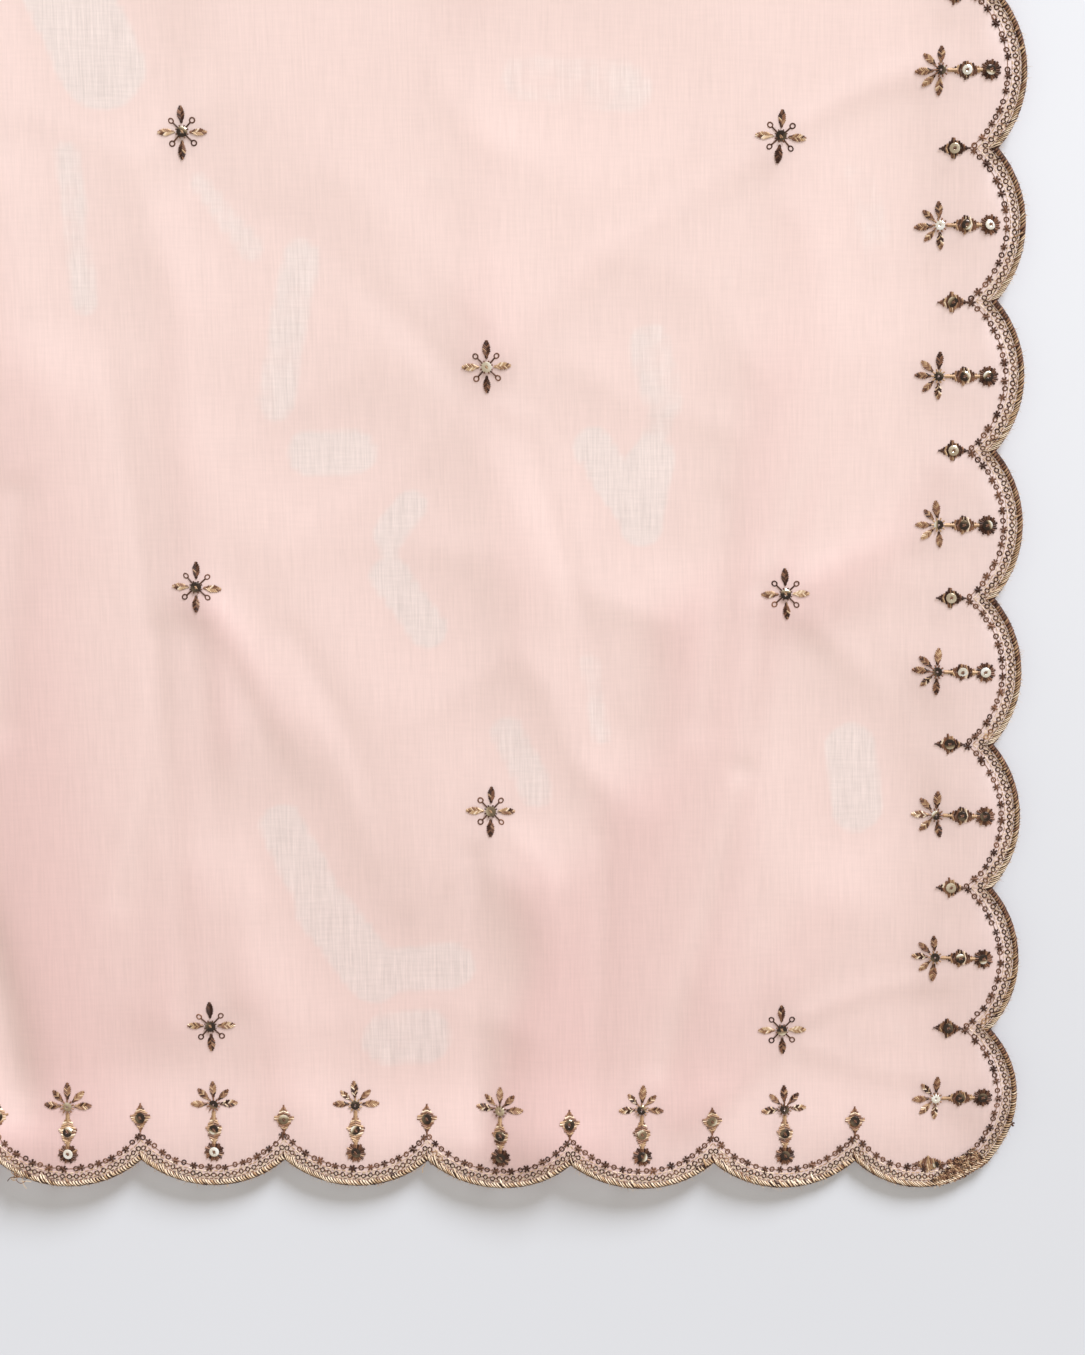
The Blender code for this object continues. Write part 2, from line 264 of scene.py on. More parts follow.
# Finer creases and flatter hollows, which only the sheet has.
CREASES = (
    Fold(0.355, 0.440, 0.238, 0.354, 0.008, 0.007, 0.007, -0.0005, -0.0006),
    Fold(0.097, 0.452, 0.217, 0.363, -0.006, 0.007, 0.008, 0.0008, 0.0005),
    Fold(0.086, 0.462, 0.026, 0.488, 0.003, 0.005, 0.007, 0.0009, 0.0008),
    Fold(0.030, 0.410, 0.092, 0.272, -0.004, 0.005, 0.006, 0.0009, 0.0010),
    Fold(0.034, 0.396, 0.104, 0.262, -0.004, 0.004, 0.005, -0.0006, -0.0008),
    Fold(0.104, 0.262, 0.112, 0.180, 0.000, 0.004, 0.005, -0.0008, -0.0010),
    Fold(0.112, 0.180, 0.150, 0.044, 0.000, 0.005, 0.006, -0.0010, -0.0012),
    Fold(0.086, 0.066, 0.022, 0.084, 0.004, 0.0035, 0.005, 0.0010, 0.0009),
    Fold(0.098, 0.056, 0.140, 0.020, 0.003, 0.006, 0.008, 0.0009, 0.0010),
    Fold(0.084, 0.054, 0.030, 0.040, -0.003, 0.004, 0.006, 0.0008, 0.0007),
    Fold(0.219, 0.152, 0.200, 0.128, 0.002, 0.004, 0.004, 0.0008, 0.0005),
    Fold(0.228, 0.152, 0.244, 0.128, 0.002, 0.004, 0.004, 0.0007, 0.0004),
    Fold(0.349, 0.248, 0.339, 0.075, 0.004, 0.005, 0.008, 0.0008, 0.0009),
    Fold(0.345, 0.250, 0.298, 0.150, 0.002, 0.004, 0.006, 0.0009, 0.0006),
    Fold(0.218, 0.372, 0.264, 0.428, 0.002, 0.004, 0.008, 0.0003, 0.0002),
    Fold(0.425, 0.440, 0.403, 0.280, 0.000, 0.014, 0.018, -0.0006, -0.0009),
    Fold(0.354, 0.236, 0.348, 0.150, 0.000, 0.010, 0.012, -0.0010, -0.0008),
    Fold(0.112, 0.084, 0.100, 0.060, 0.000, 0.012, 0.012, -0.0007, -0.0006),
    Fold(0.084, 0.250, 0.020, 0.168, 0.004, 0.006, 0.009, 0.0008, 0.0007),
    Fold(0.084, 0.262, 0.030, 0.286, 0.003, 0.005, 0.008, 0.0008, 0.0006),
    Fold(0.467, 0.130, 0.445, 0.030, 0.003, 0.011, 0.014, -0.0042, -0.0056),
    Fold(0.075, -0.006, 0.010, 0.000, 0.000, 0.020, 0.020, -0.0020, -0.0024),
    Fold(0.452, 0.019, 0.412, 0.018, 0.000, 0.004, 0.004, -0.0010, -0.0007),
    Fold(0.432, 0.300, 0.444, 0.200, 0.000, 0.008, 0.010, -0.0012, -0.0016),
    Fold(0.393, 0.378, 0.366, 0.070, 0.006, 0.004, 0.005, -0.0006, -0.0007),
    Fold(0.205, 0.330, 0.171, 0.200, 0.000, 0.004, 0.005, -0.0009, -0.0010),
    Fold(0.216, 0.340, 0.150, 0.268, 0.005, 0.004, 0.005, 0.0006, 0.0005),
    Fold(0.120, 0.300, 0.132, 0.200, 0.003, 0.005, 0.006, -0.0007, -0.0009),
    Fold(0.233, 0.140, 0.233, 0.016, 0.000, 0.005, 0.006, -0.0014, -0.0022),
    Fold(0.138, 0.284, 0.145, 0.240, 0.000, 0.010, 0.012, 0.0016, 0.0006),
    Fold(0.176, 0.150, 0.184, 0.020, 0.003, 0.004, 0.006, -0.0007, -0.0009),
    Fold(0.372, 0.240, 0.392, 0.120, 0.004, 0.005, 0.006, -0.0006, -0.0007),
    Fold(0.352, 0.470, 0.330, 0.560, 0.003, 0.006, 0.010, 0.0008, 0.0006),
    Fold(0.312, 0.240, 0.268, 0.130, 0.004, 0.005, 0.007, -0.0006, -0.0007),
)
# The same folds again, turned and shifted, under the rest of the cloth.  A copy turned half
# round counts its places from the left side and the head.
FoldCopy = namedtuple("FoldCopy", "turned shift_right shift_foot strength")
FOLD_COPIES = (
    FoldCopy(False, 0.000, 0.000, 1.00),
    FoldCopy(True, 0.000, 0.000, 0.95),
    FoldCopy(False, 0.460, 0.300, 0.80),
    FoldCopy(True, 0.450, 0.340, 0.85),
    FoldCopy(False, 0.030, 0.580, 0.75),
    FoldCopy(True, 0.020, 0.610, 0.80),
    FoldCopy(False, 0.400, 0.900, 0.75),
    FoldCopy(True, 0.410, 0.930, 0.70),
    FoldCopy(False, 0.060, 1.190, 0.75),
    FoldCopy(True, 0.050, 1.160, 0.75),
)

# Places where the cloth lies on the table, as long rounds from one point to another.
Touch = namedtuple("Touch", "right foot to_right to_foot half_width strength")
TOUCHES = (
    Touch(0.412, 0.540, 0.388, 0.486, 0.016, 1.0),
    Touch(0.404, 0.448, 0.399, 0.385, 0.0035, 0.8),
    Touch(0.346, 0.436, 0.325, 0.408, 0.0035, 0.7),
    Touch(0.304, 0.404, 0.317, 0.342, 0.0060, 0.80),
    Touch(0.303, 0.320, 0.282, 0.321, 0.0070, 1.0),
    Touch(0.258, 0.297, 0.268, 0.284, 0.0045, 0.9),
    Touch(0.268, 0.266, 0.252, 0.243, 0.0060, 1.0),
    Touch(0.204, 0.482, 0.160, 0.478, 0.0090, 0.60),
    Touch(0.151, 0.368, 0.146, 0.346, 0.0075, 0.72),
    Touch(0.146, 0.346, 0.150, 0.326, 0.0040, 0.65),
    Touch(0.177, 0.323, 0.159, 0.297, 0.0065, 1.0),
    Touch(0.151, 0.319, 0.156, 0.290, 0.0070, 1.0),
    Touch(0.180, 0.228, 0.175, 0.196, 0.0025, 0.7),
    Touch(0.217, 0.196, 0.204, 0.170, 0.0055, 0.8),
    Touch(0.063, 0.190, 0.060, 0.164, 0.0088, 1.0),
    Touch(0.319, 0.152, 0.302, 0.118, 0.0080, 0.95),
    Touch(0.301, 0.114, 0.279, 0.085, 0.0100, 1.0),
    Touch(0.276, 0.086, 0.243, 0.090, 0.0075, 0.95),
    Touch(0.273, 0.055, 0.257, 0.057, 0.0100, 0.85),
    Touch(0.060, 0.440, 0.050, 0.405, 0.0060, 0.5),
    Touch(0.062, 0.054, 0.044, 0.062, 0.0045, 0.5),
    Touch(0.250, 0.450, 0.225, 0.430, 0.0080, 0.35),
    Touch(0.130, 0.420, 0.110, 0.400, 0.0100, 0.35),
)
# Broad ones under the rest of the cloth.
RESTS = (
    Touch(0.700, 0.500, 0.640, 0.640, 0.060, 1.0),
    Touch(0.300, 0.780, 0.250, 0.860, 0.055, 1.0),
    Touch(0.640, 0.960, 0.600, 1.080, 0.060, 1.0),
    Touch(0.470, 1.120, 0.430, 1.280, 0.075, 1.0),
    Touch(0.240, 1.350, 0.280, 1.440, 0.060, 1.0),
    Touch(0.680, 1.560, 0.640, 1.660, 0.055, 1.0),
    Touch(0.280, 1.820, 0.330, 1.960, 0.060, 1.0),
    Touch(0.650, 2.080, 0.700, 2.160, 0.050, 1.0),
    Touch(0.180, 2.200, 0.230, 2.260, 0.045, 1.0),
)

FLATTENED = 0.4            # how much of the fine creases a broad place takes away


def smooth(share):
    """Smooth step of a share from 0 to 1."""
    share = np.clip(share, 0.0, 1.0)
    return share * share * (3 - 2 * share)


def fold_height(fold, right, foot):
    """Height that one fold adds at each place."""
    run_right = fold.to_right - fold.right
    run_foot = fold.to_foot - fold.foot
    run = math.hypot(run_right, run_foot)
    from_right = right - fold.right
    from_foot = foot - fold.foot
    along = (from_right * run_right + from_foot * run_foot) / run
    aside = (from_right * run_foot - from_foot * run_right) / run
    share = np.clip(along / run, 0.0, 1.0)
    beyond = along - share * run
    aside = aside - fold.bend * 4 * share * (1 - share)
    half_width = fold.half_width + (fold.to_half_width - fold.half_width) * share
    height = fold.height + (fold.to_height - fold.height) * share
    return height * np.exp(-(aside ** 2 + beyond ** 2) / half_width ** 2)


def touch_share(touch, right, foot, rise):
    """1 where the cloth lies on the table in this place, falling to 0 outside it."""
    run_right = touch.to_right - touch.right
    run_foot = touch.to_foot - touch.foot
    from_right = right - touch.right
    from_foot = foot - touch.foot
    share = (from_right * run_right + from_foot * run_foot) / (run_right ** 2 + run_foot ** 2)
    share = np.clip(share, 0.0, 1.0)
    distance = np.hypot(from_right - share * run_right, from_foot - share * run_foot)
    return touch.strength * (1 - smooth((distance - touch.half_width) / rise))


def most_touched(touches, right, foot):
    """How much the cloth lies on the table, by the strongest of several touching places."""
    shares = [touch_share(touch, right, foot, lie().touch_rise) for touch in touches]
    return np.max(shares, axis=0)


def edge_height(u, v):
    """Height that the stiff sewn edge adds at places in the cloth frame."""
    own = lie()
    width, whole = cloth_size()
    nearness = 1 - np.minimum(width / 2 - np.abs(u), whole / 2 - np.abs(v)) / own.edge_lift_width
    return own.edge_lift * smooth(nearness)


def copy_places(copy, u, v):
    """Places in the cloth frame as one copy of the folds counts them."""
    width, whole = cloth_size()
    right = width / 2 - u
    foot = whole / 2 + v
    if copy.turned:
        right, foot = width - right, whole - foot
    return right - copy.shift_right, foot - copy.shift_foot


def cloth_height(u, v):
    """Height of the cloth's underside at places in the cloth frame."""
    own = lie()
    height = own.rest_height + edge_height(u, v)
    fine = np.zeros_like(u)
    for copy in FOLD_COPIES:
        places = copy_places(copy, u, v)
        height = height + copy.strength * sum(fold_height(fold, *places) for fold in FOLDS)
        fine = fine + copy.strength * sum(fold_height(crease, *places) for crease in CREASES)
    right, foot = copy_places(FOLD_COPIES[0], u, v)
    touched = most_touched(TOUCHES, right, foot)
    # the broad places have wavering rims, and the fine creases run on over them
    waver = own.rest_waver * (np.sin(37 * right + 23 * foot) + np.sin(51 * foot - 29 * right))
    rested = most_touched(RESTS, right + waver, foot - waver)
    height = height * (1 - rested) + fine * (1 - FLATTENED * rested)
    return np.maximum(height, 0.0) * (1 - touched)


def touch_look(u, v):
    """How clearly the weave shows at each place, and how far painted light makes it paler, as it does where
    the cloth lies on the table.
    """
    look = np.zeros_like(u)
    for copy in FOLD_COPIES:
        places = copy_places(copy, u, v)
        for touch in TOUCHES:
            look = np.maximum(look, copy.strength * touch_share(touch, *places, lie().touch_blur))
    return look


@functools.lru_cache(maxsize=1)
def height_lattice():
    """Heights on an even lattice over the cloth, its low corner and its step."""
    width, whole = cloth_size()
    step = lie().lattice
    margin = cut().rise + 2 * step
    low_u = -width / 2 - margin
    low_v = -whole / 2 - margin
    places_u = np.arange(low_u, -low_u + step, step)
    places_v = np.arange(low_v, -low_v + step, step)
    grid_u, grid_v = np.meshgrid(places_u, places_v, indexing="ij")
    return cloth_height(grid_u, grid_v), low_u, low_v, step


def lattice_height(u, v):
    """Height of the cloth's underside, read between the lattice's places."""
    heights, low_u, low_v, step = height_lattice()
    across = np.clip((u - low_u) / step, 0, heights.shape[0] - 1.001)
    along = np.clip((v - low_v) / step, 0, heights.shape[1] - 1.001)
    i = across.astype(int)
    j = along.astype(int)
    part_i = across - i
    part_j = along - j
    low = heights[i, j] * (1 - part_i) + heights[i + 1, j] * part_i
    high = heights[i, j + 1] * (1 - part_i) + heights[i + 1, j + 1] * part_i
    return low * (1 - part_j) + high * part_j


def drawn_in(u, v):
    """Places of the cloth frame once the sewing has drawn the corners in."""
    own = lie()
    width, whole = cloth_size()
    for hand_u in (-1, 1):
        for hand_v in (-1, 1):
            distance = np.hypot(u - hand_u * width / 2, v - hand_v * whole / 2)
            pull = own.corner_pull / math.sqrt(2) * np.exp(-(distance / own.corner_reach) ** 2)
            u, v = u - hand_u * pull, v - hand_v * pull
    return u, v


def laid(points):
    """Points of the flat cloth frame (u, v, height over the cloth), laid on the folds."""
    u, v = drawn_in(points[:, 0], points[:, 1])
    height = points[:, 2] + lattice_height(u, v) + lie().cloth_lift
    return np.column_stack((u, v - cut().skew * u, height))


# ---------------------------------------------------------------- outline

# One arc of the outline.  start and end are its notches, start_in and end_in the ways in from
# them, along and outward its own directions.
Scallop = namedtuple("Scallop", "side number centre radius along outward start start_in end end_in")


def make_scallop(side, number, start, start_in, end, end_in):
    """The arc from one notch to the next, which bulges to the right of that way."""
    rise = cut().rise
    chord = end - start
    run = np.hypot(*chord)
    along = chord / run
    outward = np.array((along[1], -along[0]))
    radius = (run ** 2 / 4 + rise ** 2) / (2 * rise)
    centre = (start + end) / 2 - outward * (radius - rise)
    return Scallop(side, number, centre, radius, along, outward, start, start_in, end, end_in)


def notch_places(count, corner, whole):
    """Where the notches of a side lie along it."""
    return [0.0, *(corner + cut().pitch * step for step in range(count - 1)), whole]


def side_scallops(side, start, end, count, corner):
    """The arcs along one side of the cloth."""
    whole = np.hypot(*(end - start))
    along = (end - start) / whole
    inward = np.array((-along[1], along[0]))
    first_in = (along + inward) / math.sqrt(2)
    last_in = (inward - along) / math.sqrt(2)
    notches = [start + along * place for place in notch_places(count, corner, whole)]
    notches[0] = start - first_in * cut().corner_push
    notches[-1] = end - last_in * cut().corner_push
    ways_in = [first_in, *([inward] * (count - 1)), last_in]
    return [make_scallop(side, number, notches[number], ways_in[number], notches[number + 1],
                         ways_in[number + 1]) for number in range(count)]


@functools.lru_cache(maxsize=1)
def outline():
    """The arcs of each side, anticlockwise."""
    own = cut()
    width, whole = cloth_size()
    foot_left = np.array((-width / 2, -whole / 2))
    foot_right = np.array((width / 2, -whole / 2))
    head_right = np.array((width / 2, whole / 2))
    head_left = np.array((-width / 2, whole / 2))
    return {
        "foot": side_scallops("foot", foot_left, foot_right, own.across, own.corner_across),
        "right": side_scallops("right", foot_right, head_right, own.along, own.corner_along),
        "head": side_scallops("head", head_right, head_left, own.across, own.corner_across),
        "left": side_scallops("left", head_left, foot_left, own.along, own.corner_along),
    }


def trim_angle(scallop, radius, place, inward):
    """Angle at which an arc of this radius meets the line that runs in from a notch."""
    away = place - scallop.centre
    lean = away @ inward
    reach = -lean - np.sqrt(lean ** 2 - away @ away + radius ** 2)
    meet = away + reach[..., None] * inward
    return np.arctan2(meet @ scallop.along, meet @ scallop.outward)


def arc_places(scallop, share, inset):
    """Places on a scallop: share runs from 0 to 1 along it, inset from its edge inwards."""
    share, inset = np.broadcast_arrays(np.asarray(share, float), np.asarray(inset, float))
    radius = scallop.radius - inset
    first = trim_angle(scallop, radius, scallop.start, scallop.start_in)
    last = trim_angle(scallop, radius, scallop.end, scallop.end_in)
    turn = first + (last - first) * share
    spoke = np.sin(turn)[..., None] * scallop.along + np.cos(turn)[..., None] * scallop.outward
    return scallop.centre + radius[..., None] * spoke


def arc_length(scallop, inset):
    """Length of a scallop's arc at an inset."""
    radius = np.array(scallop.radius - inset)
    first = trim_angle(scallop, radius, scallop.start, scallop.start_in)
    last = trim_angle(scallop, radius, scallop.end, scallop.end_in)
    return float(radius * (last - first))


def all_scallops():
    """Every arc of the outline."""
    return [scallop for side in SIDES for scallop in outline()[side]]


# ---------------------------------------------------------------- small shapes

# A small shape: its points, its triangles, and a tone for each point.
Shape = namedtuple("Shape", "points faces tones")
# One thread: how wide and how high it is, and how far over the cloth its underside lies.
Thread = namedtuple("Thread", "width height base")

RING_SIDES = 10
SEQUIN_SIDES = 12
SAME_RADIUS = 1e-7         # radii closer than this are one ring of points
TONE_WAVER = 0.08          # how much the tones of like pieces differ


def shape_from(bm):
    """Read a bmesh as a small shape."""
    bmesh.ops.triangulate(bm, faces=bm.faces[:])
    bm.verts.index_update()
    points = np.array([vert.co[:] for vert in bm.verts])
    # sorted, because an extrusion may make its faces in another order each time
    faces = np.array(sorted([vert.index for vert in face.verts] for face in bm.faces))
    bm.free()
    return Shape(points, faces, np.zeros(len(points)))


def rows(shape):
    """The X, Y and Z of a shape's points, each as one row."""
    return shape.points.T[:, None]


def strip_shape(steps, halves=1, arch=0.0, ridge=0.0):
    """A strip of unit length along X and unit width, which arches, with a ridge down it."""
    bm = bmesh.new()
    bmesh.ops.create_grid(bm, x_segments=steps, y_segments=halves, size=0.5)
    for vert in bm.verts:
        vert.co.x += 0.5
        vert.co.z = arch * math.sin(math.pi * vert.co.x) + ridge * (1 - abs(2 * vert.co.y))
    return shape_from(bm)


@functools.lru_cache(maxsize=1)
def stitch_shape():
    """A straight stitch of unit size with a ridge down it."""
    return strip_shape(1, halves=2, ridge=1.0)


def round_shape(sides, rings):
    """A round shape through rings of (radius, height), from its rim inwards."""
    bm = bmesh.new()
    radius, height = rings[0]
    bmesh.ops.create_circle(bm, segments=sides, radius=radius)
    bmesh.ops.translate(bm, verts=bm.verts[:], vec=(0, 0, height))
    for inner, inner_height in rings[1:]:
        rim = [edge for edge in bm.edges
               if all(abs(vert.co.xy.length - radius) < SAME_RADIUS for vert in edge.verts)]
        made = bmesh.ops.extrude_edge_only(bm, edges=rim)["geom"]
        verts = [item for item in made if isinstance(item, bmesh.types.BMVert)]
        bmesh.ops.scale(bm, verts=verts, vec=(inner / radius, inner / radius, 1))
        bmesh.ops.translate(bm, verts=verts, vec=(0, 0, inner_height - height))
        radius, height = inner, inner_height
    return shape_from(bm)


def hoop_shape(outer, width, height):
    """A thread ring whose middle stands up."""
    return round_shape(RING_SIDES, ((outer, 0.0), (outer - width / 2, height), (outer - width, 0.0)))


def joined(shapes):
    """Several small shapes as one."""
    points, faces, tones, count = [], [], [], 0
    for shape in shapes:
        points.append(shape.points)
        faces.append(shape.faces + count)
        tones.append(shape.tones)
        count += len(shape.points)
    return Shape(np.concatenate(points), np.concatenate(faces), np.concatenate(tones))


def directions(turn):
    """Two directions at right angles, the first at an angle from +X."""
    return np.array((math.cos(turn), math.sin(turn))), np.array((-math.sin(turn), math.cos(turn)))


def moved(shape, turn=0.0, size=(1, 1, 1), place=(0, 0, 0), tone=0.0):
    """A small shape sized, turned about Z and moved."""
    points = shape.points * np.array(size)
    across, along = directions(turn)
    flat = points[:, :1] * across + points[:, 1:2] * along
    points = np.column_stack((flat, points[:, 2]))
    return Shape(points + np.array(place), shape.faces, shape.tones + tone)


def stitch_between(start, end, thread, tone=0.0):
    """A stitch of one thread, laid from one place to another."""
    run_x, run_y = end[0] - start[0], end[1] - start[1]
    size = (math.hypot(run_x, run_y), thread.width, thread.height)
    return moved(stitch_shape(), math.atan2(run_y, run_x), size, (start[0], start[1], thread.base), tone)


class Sewn:
    """Collects copies of small shapes in the cloth frame."""

    def __init__(self):
        self.points, self.faces, self.tones, self.count = [], [], [], 0

    def lay(self, shape, places, rise, tones):
        """Add copies of a shape; places and rise have a row for each copy's points."""
        rise = np.broadcast_to(rise, places.shape[:-1])
        copies, each = rise.shape
        starts = self.count + np.arange(copies) * each
        self.points.append(np.concatenate((places, rise[..., None]), axis=-1).reshape(-1, 3))
        self.faces.append((shape.faces[None] + starts[:, None, None]).reshape(-1, 3))
        self.tones.append(np.broadcast_to(tones, (copies, each)).reshape(-1))
        self.count += copies * each

    def place(self, shape, origin, across, along, tone=0.0, size=1.0):
        """Add a shape whose X and Y run along two directions of the cloth frame."""
        flat = shape.points[:, :1] * across + shape.points[:, 1:2] * along
        self.lay(shape, (origin + flat * size)[None], shape.points[:, 2] * size, shape.tones + tone)

    def finish(self, name, material="thread"):
        """Lay everything on the cloth as one piece, with every face up."""
        points = laid(np.concatenate(self.points))
        faces = np.concatenate(self.faces)
        first, second, third = (points[faces[:, corner]] for corner in range(3))
        looks_down = np.cross(second - first, third - first)[:, 2] < 0
        faces[looks_down] = faces[looks_down, ::-1]
        mesh = bpy.data.meshes.new(name)
        mesh.from_pydata(points, [], faces)
        set_values(mesh, "tone", np.concatenate(self.tones))
        return add_piece(name, mesh, material)


def set_values(mesh, name, values):
    """Give a mesh a named value at each point."""
    layer = mesh.attributes.new(name, "FLOAT", "POINT")
    layer.data.foreach_set("value", values.astype(np.float32))


def add_piece(name, mesh, material):
    """Make an object of a mesh, as a piece that rides on the part."""
    mesh.materials.append(materials()[material])
    mesh.update()
    thing = bpy.data.objects.new(name, mesh)
    bpy.context.scene.collection.objects.link(thing)
    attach(thing, "root")
    return thing


# ---------------------------------------------------------------- materials

# How fine the threads and slubs of the weave are across and along the cloth
WARP = (1100, 48, 1)
WEFT = (70, 800, 1)
SLUB = (150, 9, 1)
OPEN_SHARE = 0.22          # gaps, of the cloth
THROUGH_SHARE = 0.30       # of the threads' light that comes through
# Painted shade towards the cloth's two ends: how far up or down from the middle the colours start to darken,
# and where they have, then the tints they darken by
END_SHADE_FROM = 0.62
END_SHADE_TO = 1.28
END_SHADE_CLOTH = (0.925, 0.87, 0.865)
END_SHADE_THREAD = (0.82, 0.79, 0.76)
# A sequin's painted reflection tones between the dark and the bright one
SEQUIN_BRONZE = (0.34, 0.25, 0.15)
SEQUIN_PEWTER = (0.70, 0.62, 0.48)


def opaque(value):
    """A colour with its alpha, or a colour socket as it is."""
    return value if isinstance(value, bpy.types.NodeSocket) else (*value[:3], 1.0)


class Nodes:
    """Adds and links shader nodes of one material."""

    def __init__(self, name):
        self.material = bpy.data.materials.new(name)
        self.material.use_nodes = True
        self.tree = self.material.node_tree
        self.tree.nodes.clear()

    def add(self, kind, values=None, **options):
        """A node with its options, and its inputs set to values or linked to sockets."""
        node = self.tree.nodes.new(kind)
        for option, value in options.items():
            setattr(node, option, value)
        for key, value in (values or {}).items():
            if isinstance(value, bpy.types.NodeSocket):
                self.tree.links.new(value, node.inputs[key])
            else:
                node.inputs[key].default_value = value
        return node

    def math(self, operation, first, second=0.5, third=0.5, clamp=False):
        """A Math node's result."""
        values = {0: first, 1: second, 2: third}
        return self.add("ShaderNodeMath", values, operation=operation, use_clamp=clamp).outputs[0]

    def swing(self, factor, reach):
        """A factor between 0 and 1 as a number between minus half the reach and half of it."""
        return self.math("MULTIPLY_ADD", factor, reach, -reach / 2)

    def attribute(self, name):
        """A piece's own attribute."""
        return self.add("ShaderNodeAttribute", attribute_name=name).outputs["Fac"]

    def place(self):
        """The place on the piece."""
        return self.add("ShaderNodeTexCoord").outputs["Object"]

    def noise(self, vector, scale, detail=2.0, roughness=0.5):
        """A noise texture's factor."""
        values = {"Vector": vector, "Scale": scale, "Detail": detail, "Roughness": roughness}
        return self.add("ShaderNodeTexNoise", values).outputs["Fac"]

    def threads(self, vector, scale, roughness):
        """A noise stretched differently each way."""
        stretched = self.add("ShaderNodeMapping", {"Vector": vector, "Scale": scale}).outputs[0]
        return self.noise(stretched, 1.0, 2.0, roughness)

    def between(self, value, low, high, to_low=0.0, to_high=1.0):
        """A smooth rise from one value to another."""
        span = {0: value, 1: low, 2: high, 3: to_low, 4: to_high}
        return self.add("ShaderNodeMapRange", span, interpolation_type="SMOOTHSTEP").outputs[0]

    def blend(self, share, first, second, kind="MIX"):
        """A mix of two colours."""
        values = {"Factor": share, 6: opaque(first), 7: opaque(second)}
        return self.add("ShaderNodeMix", values, data_type="RGBA", blend_type=kind).outputs[2]

    def ramp(self, share, stops):
        """A colour ramp's colour; stops are (place, colour)."""
        node = self.add("ShaderNodeValToRGB", {0: share})
        elements = node.color_ramp.elements
        while len(elements) < len(stops):
            elements.new(0.5)
        for element, (place, value) in zip(elements, stops):
            element.position = place
            element.color = opaque(value)
        return node.outputs[0]

    def shaded(self, base, shade):
        """A colour multiplied by a share."""
        grey = self.add("ShaderNodeCombineColor", {0: shade, 1: shade, 2: shade}).outputs[0]
        return self.blend(1.0, base, grey, "MULTIPLY")

    def painted_end_shade(self, base, tint):
        """A colour darkened by a painted shade towards the cloth's two ends."""
        slant = {0: self.place(), 1: (0.35, 1.0, 0.0)}
        along = self.add("ShaderNodeVectorMath", slant, operation="DOT_PRODUCT").outputs["Value"]
        share = self.between(self.math("ABSOLUTE", along), END_SHADE_FROM, END_SHADE_TO)
        return self.blend(1.0, base, self.blend(share, (1, 1, 1), tint), "MULTIPLY")

    def bump(self, height, strength, distance):
        """A normal bumped by a height."""
        values = {"Height": height, "Strength": strength, "Distance": distance}
        return self.add("ShaderNodeBump", values).outputs[0]

    def principled(self, base, roughness, specular, **others):
        """A Principled surface; other inputs are named with _ for a space."""
        values = {"Base Color": base, "Roughness": roughness, "Specular IOR Level": specular}
        values.update({name.replace("_", " "): value for name, value in others.items()})
        return self.add("ShaderNodeBsdfPrincipled", values).outputs[0]

    def output(self, shader):
        """Use a shader as the surface."""
        self.add("ShaderNodeOutputMaterial", {"Surface": shader})
        return self.material


def organza_material():
    """Sheer plain weave, more clearly threaded where it lies on the table, with painted light that makes it
    paler and greyer there and painted shade that deepens it where a fold lifts it.
    """
    own = colours()
    nodes = Nodes("organza")
    weave = nodes.add("ShaderNodeUVMap", uv_map="weave").outputs[0]
    lift = nodes.attribute("lift")
    warp = nodes.threads(weave, WARP, 0.65)
    weft = nodes.threads(weave, WEFT, 0.6)
    slub = nodes.threads(weave, SLUB, 0.5)
    cloudy = nodes.noise(weave, 18.0, 3.0, 0.5)
    thread = nodes.math("ADD", nodes.math("MULTIPLY", warp, 0.62), nodes.math("MULTIPLY", weft, 0.26))
    thread = nodes.math("ADD", thread, nodes.math("MULTIPLY", slub, 0.12))
    patchy = nodes.math("MULTIPLY", nodes.noise(weave, 45.0, 3.0, 0.6), 0.8)
    patchy = nodes.math("ADD", patchy, nodes.math("MULTIPLY_ADD", warp, 0.26, -0.53))
    touch = nodes.between(nodes.math("ADD", nodes.attribute("touch"), patchy), 0.38, 0.88)
    depth = nodes.math("MULTIPLY_ADD", touch, 0.40, 0.29)
    shade = nodes.math("MULTIPLY_ADD", nodes.math("SUBTRACT", thread, 0.5), depth, 1.0)
    shade = nodes.math("MULTIPLY_ADD", nodes.math("SUBTRACT", cloudy, 0.5), 0.03, shade)
    # painted light where the cloth lies on the table, painted shade where a fold lifts it
    base = nodes.blend(touch, nodes.blend(lift, own.cloth, own.cloth_lifted_shade), own.cloth_touch_painted_light)
    # painted shade: the cloth darkens towards its two ends
    base = nodes.painted_end_shade(nodes.shaded(base, shade), END_SHADE_CLOTH)
    bump = nodes.bump(thread, 0.12, 0.0004)
    cloth = nodes.principled(base, 0.62, 0.25, Sheen_Weight=0.18, Sheen_Roughness=0.45, Normal=bump)
    through = nodes.add("ShaderNodeBsdfTranslucent", {"Color": base, "Normal": bump}).outputs[0]
    gaps = nodes.add("ShaderNodeBsdfTransparent", {"Color": (1, 0.93, 0.87, 1)}).outputs[0]
    woven = nodes.add("ShaderNodeMixShader", {0: THROUGH_SHARE, 1: cloth, 2: through}).outputs[0]
    sheer = nodes.add("ShaderNodeMixShader", {0: OPEN_SHARE, 1: woven, 2: gaps}).outputs[0]
    return nodes.output(sheer)


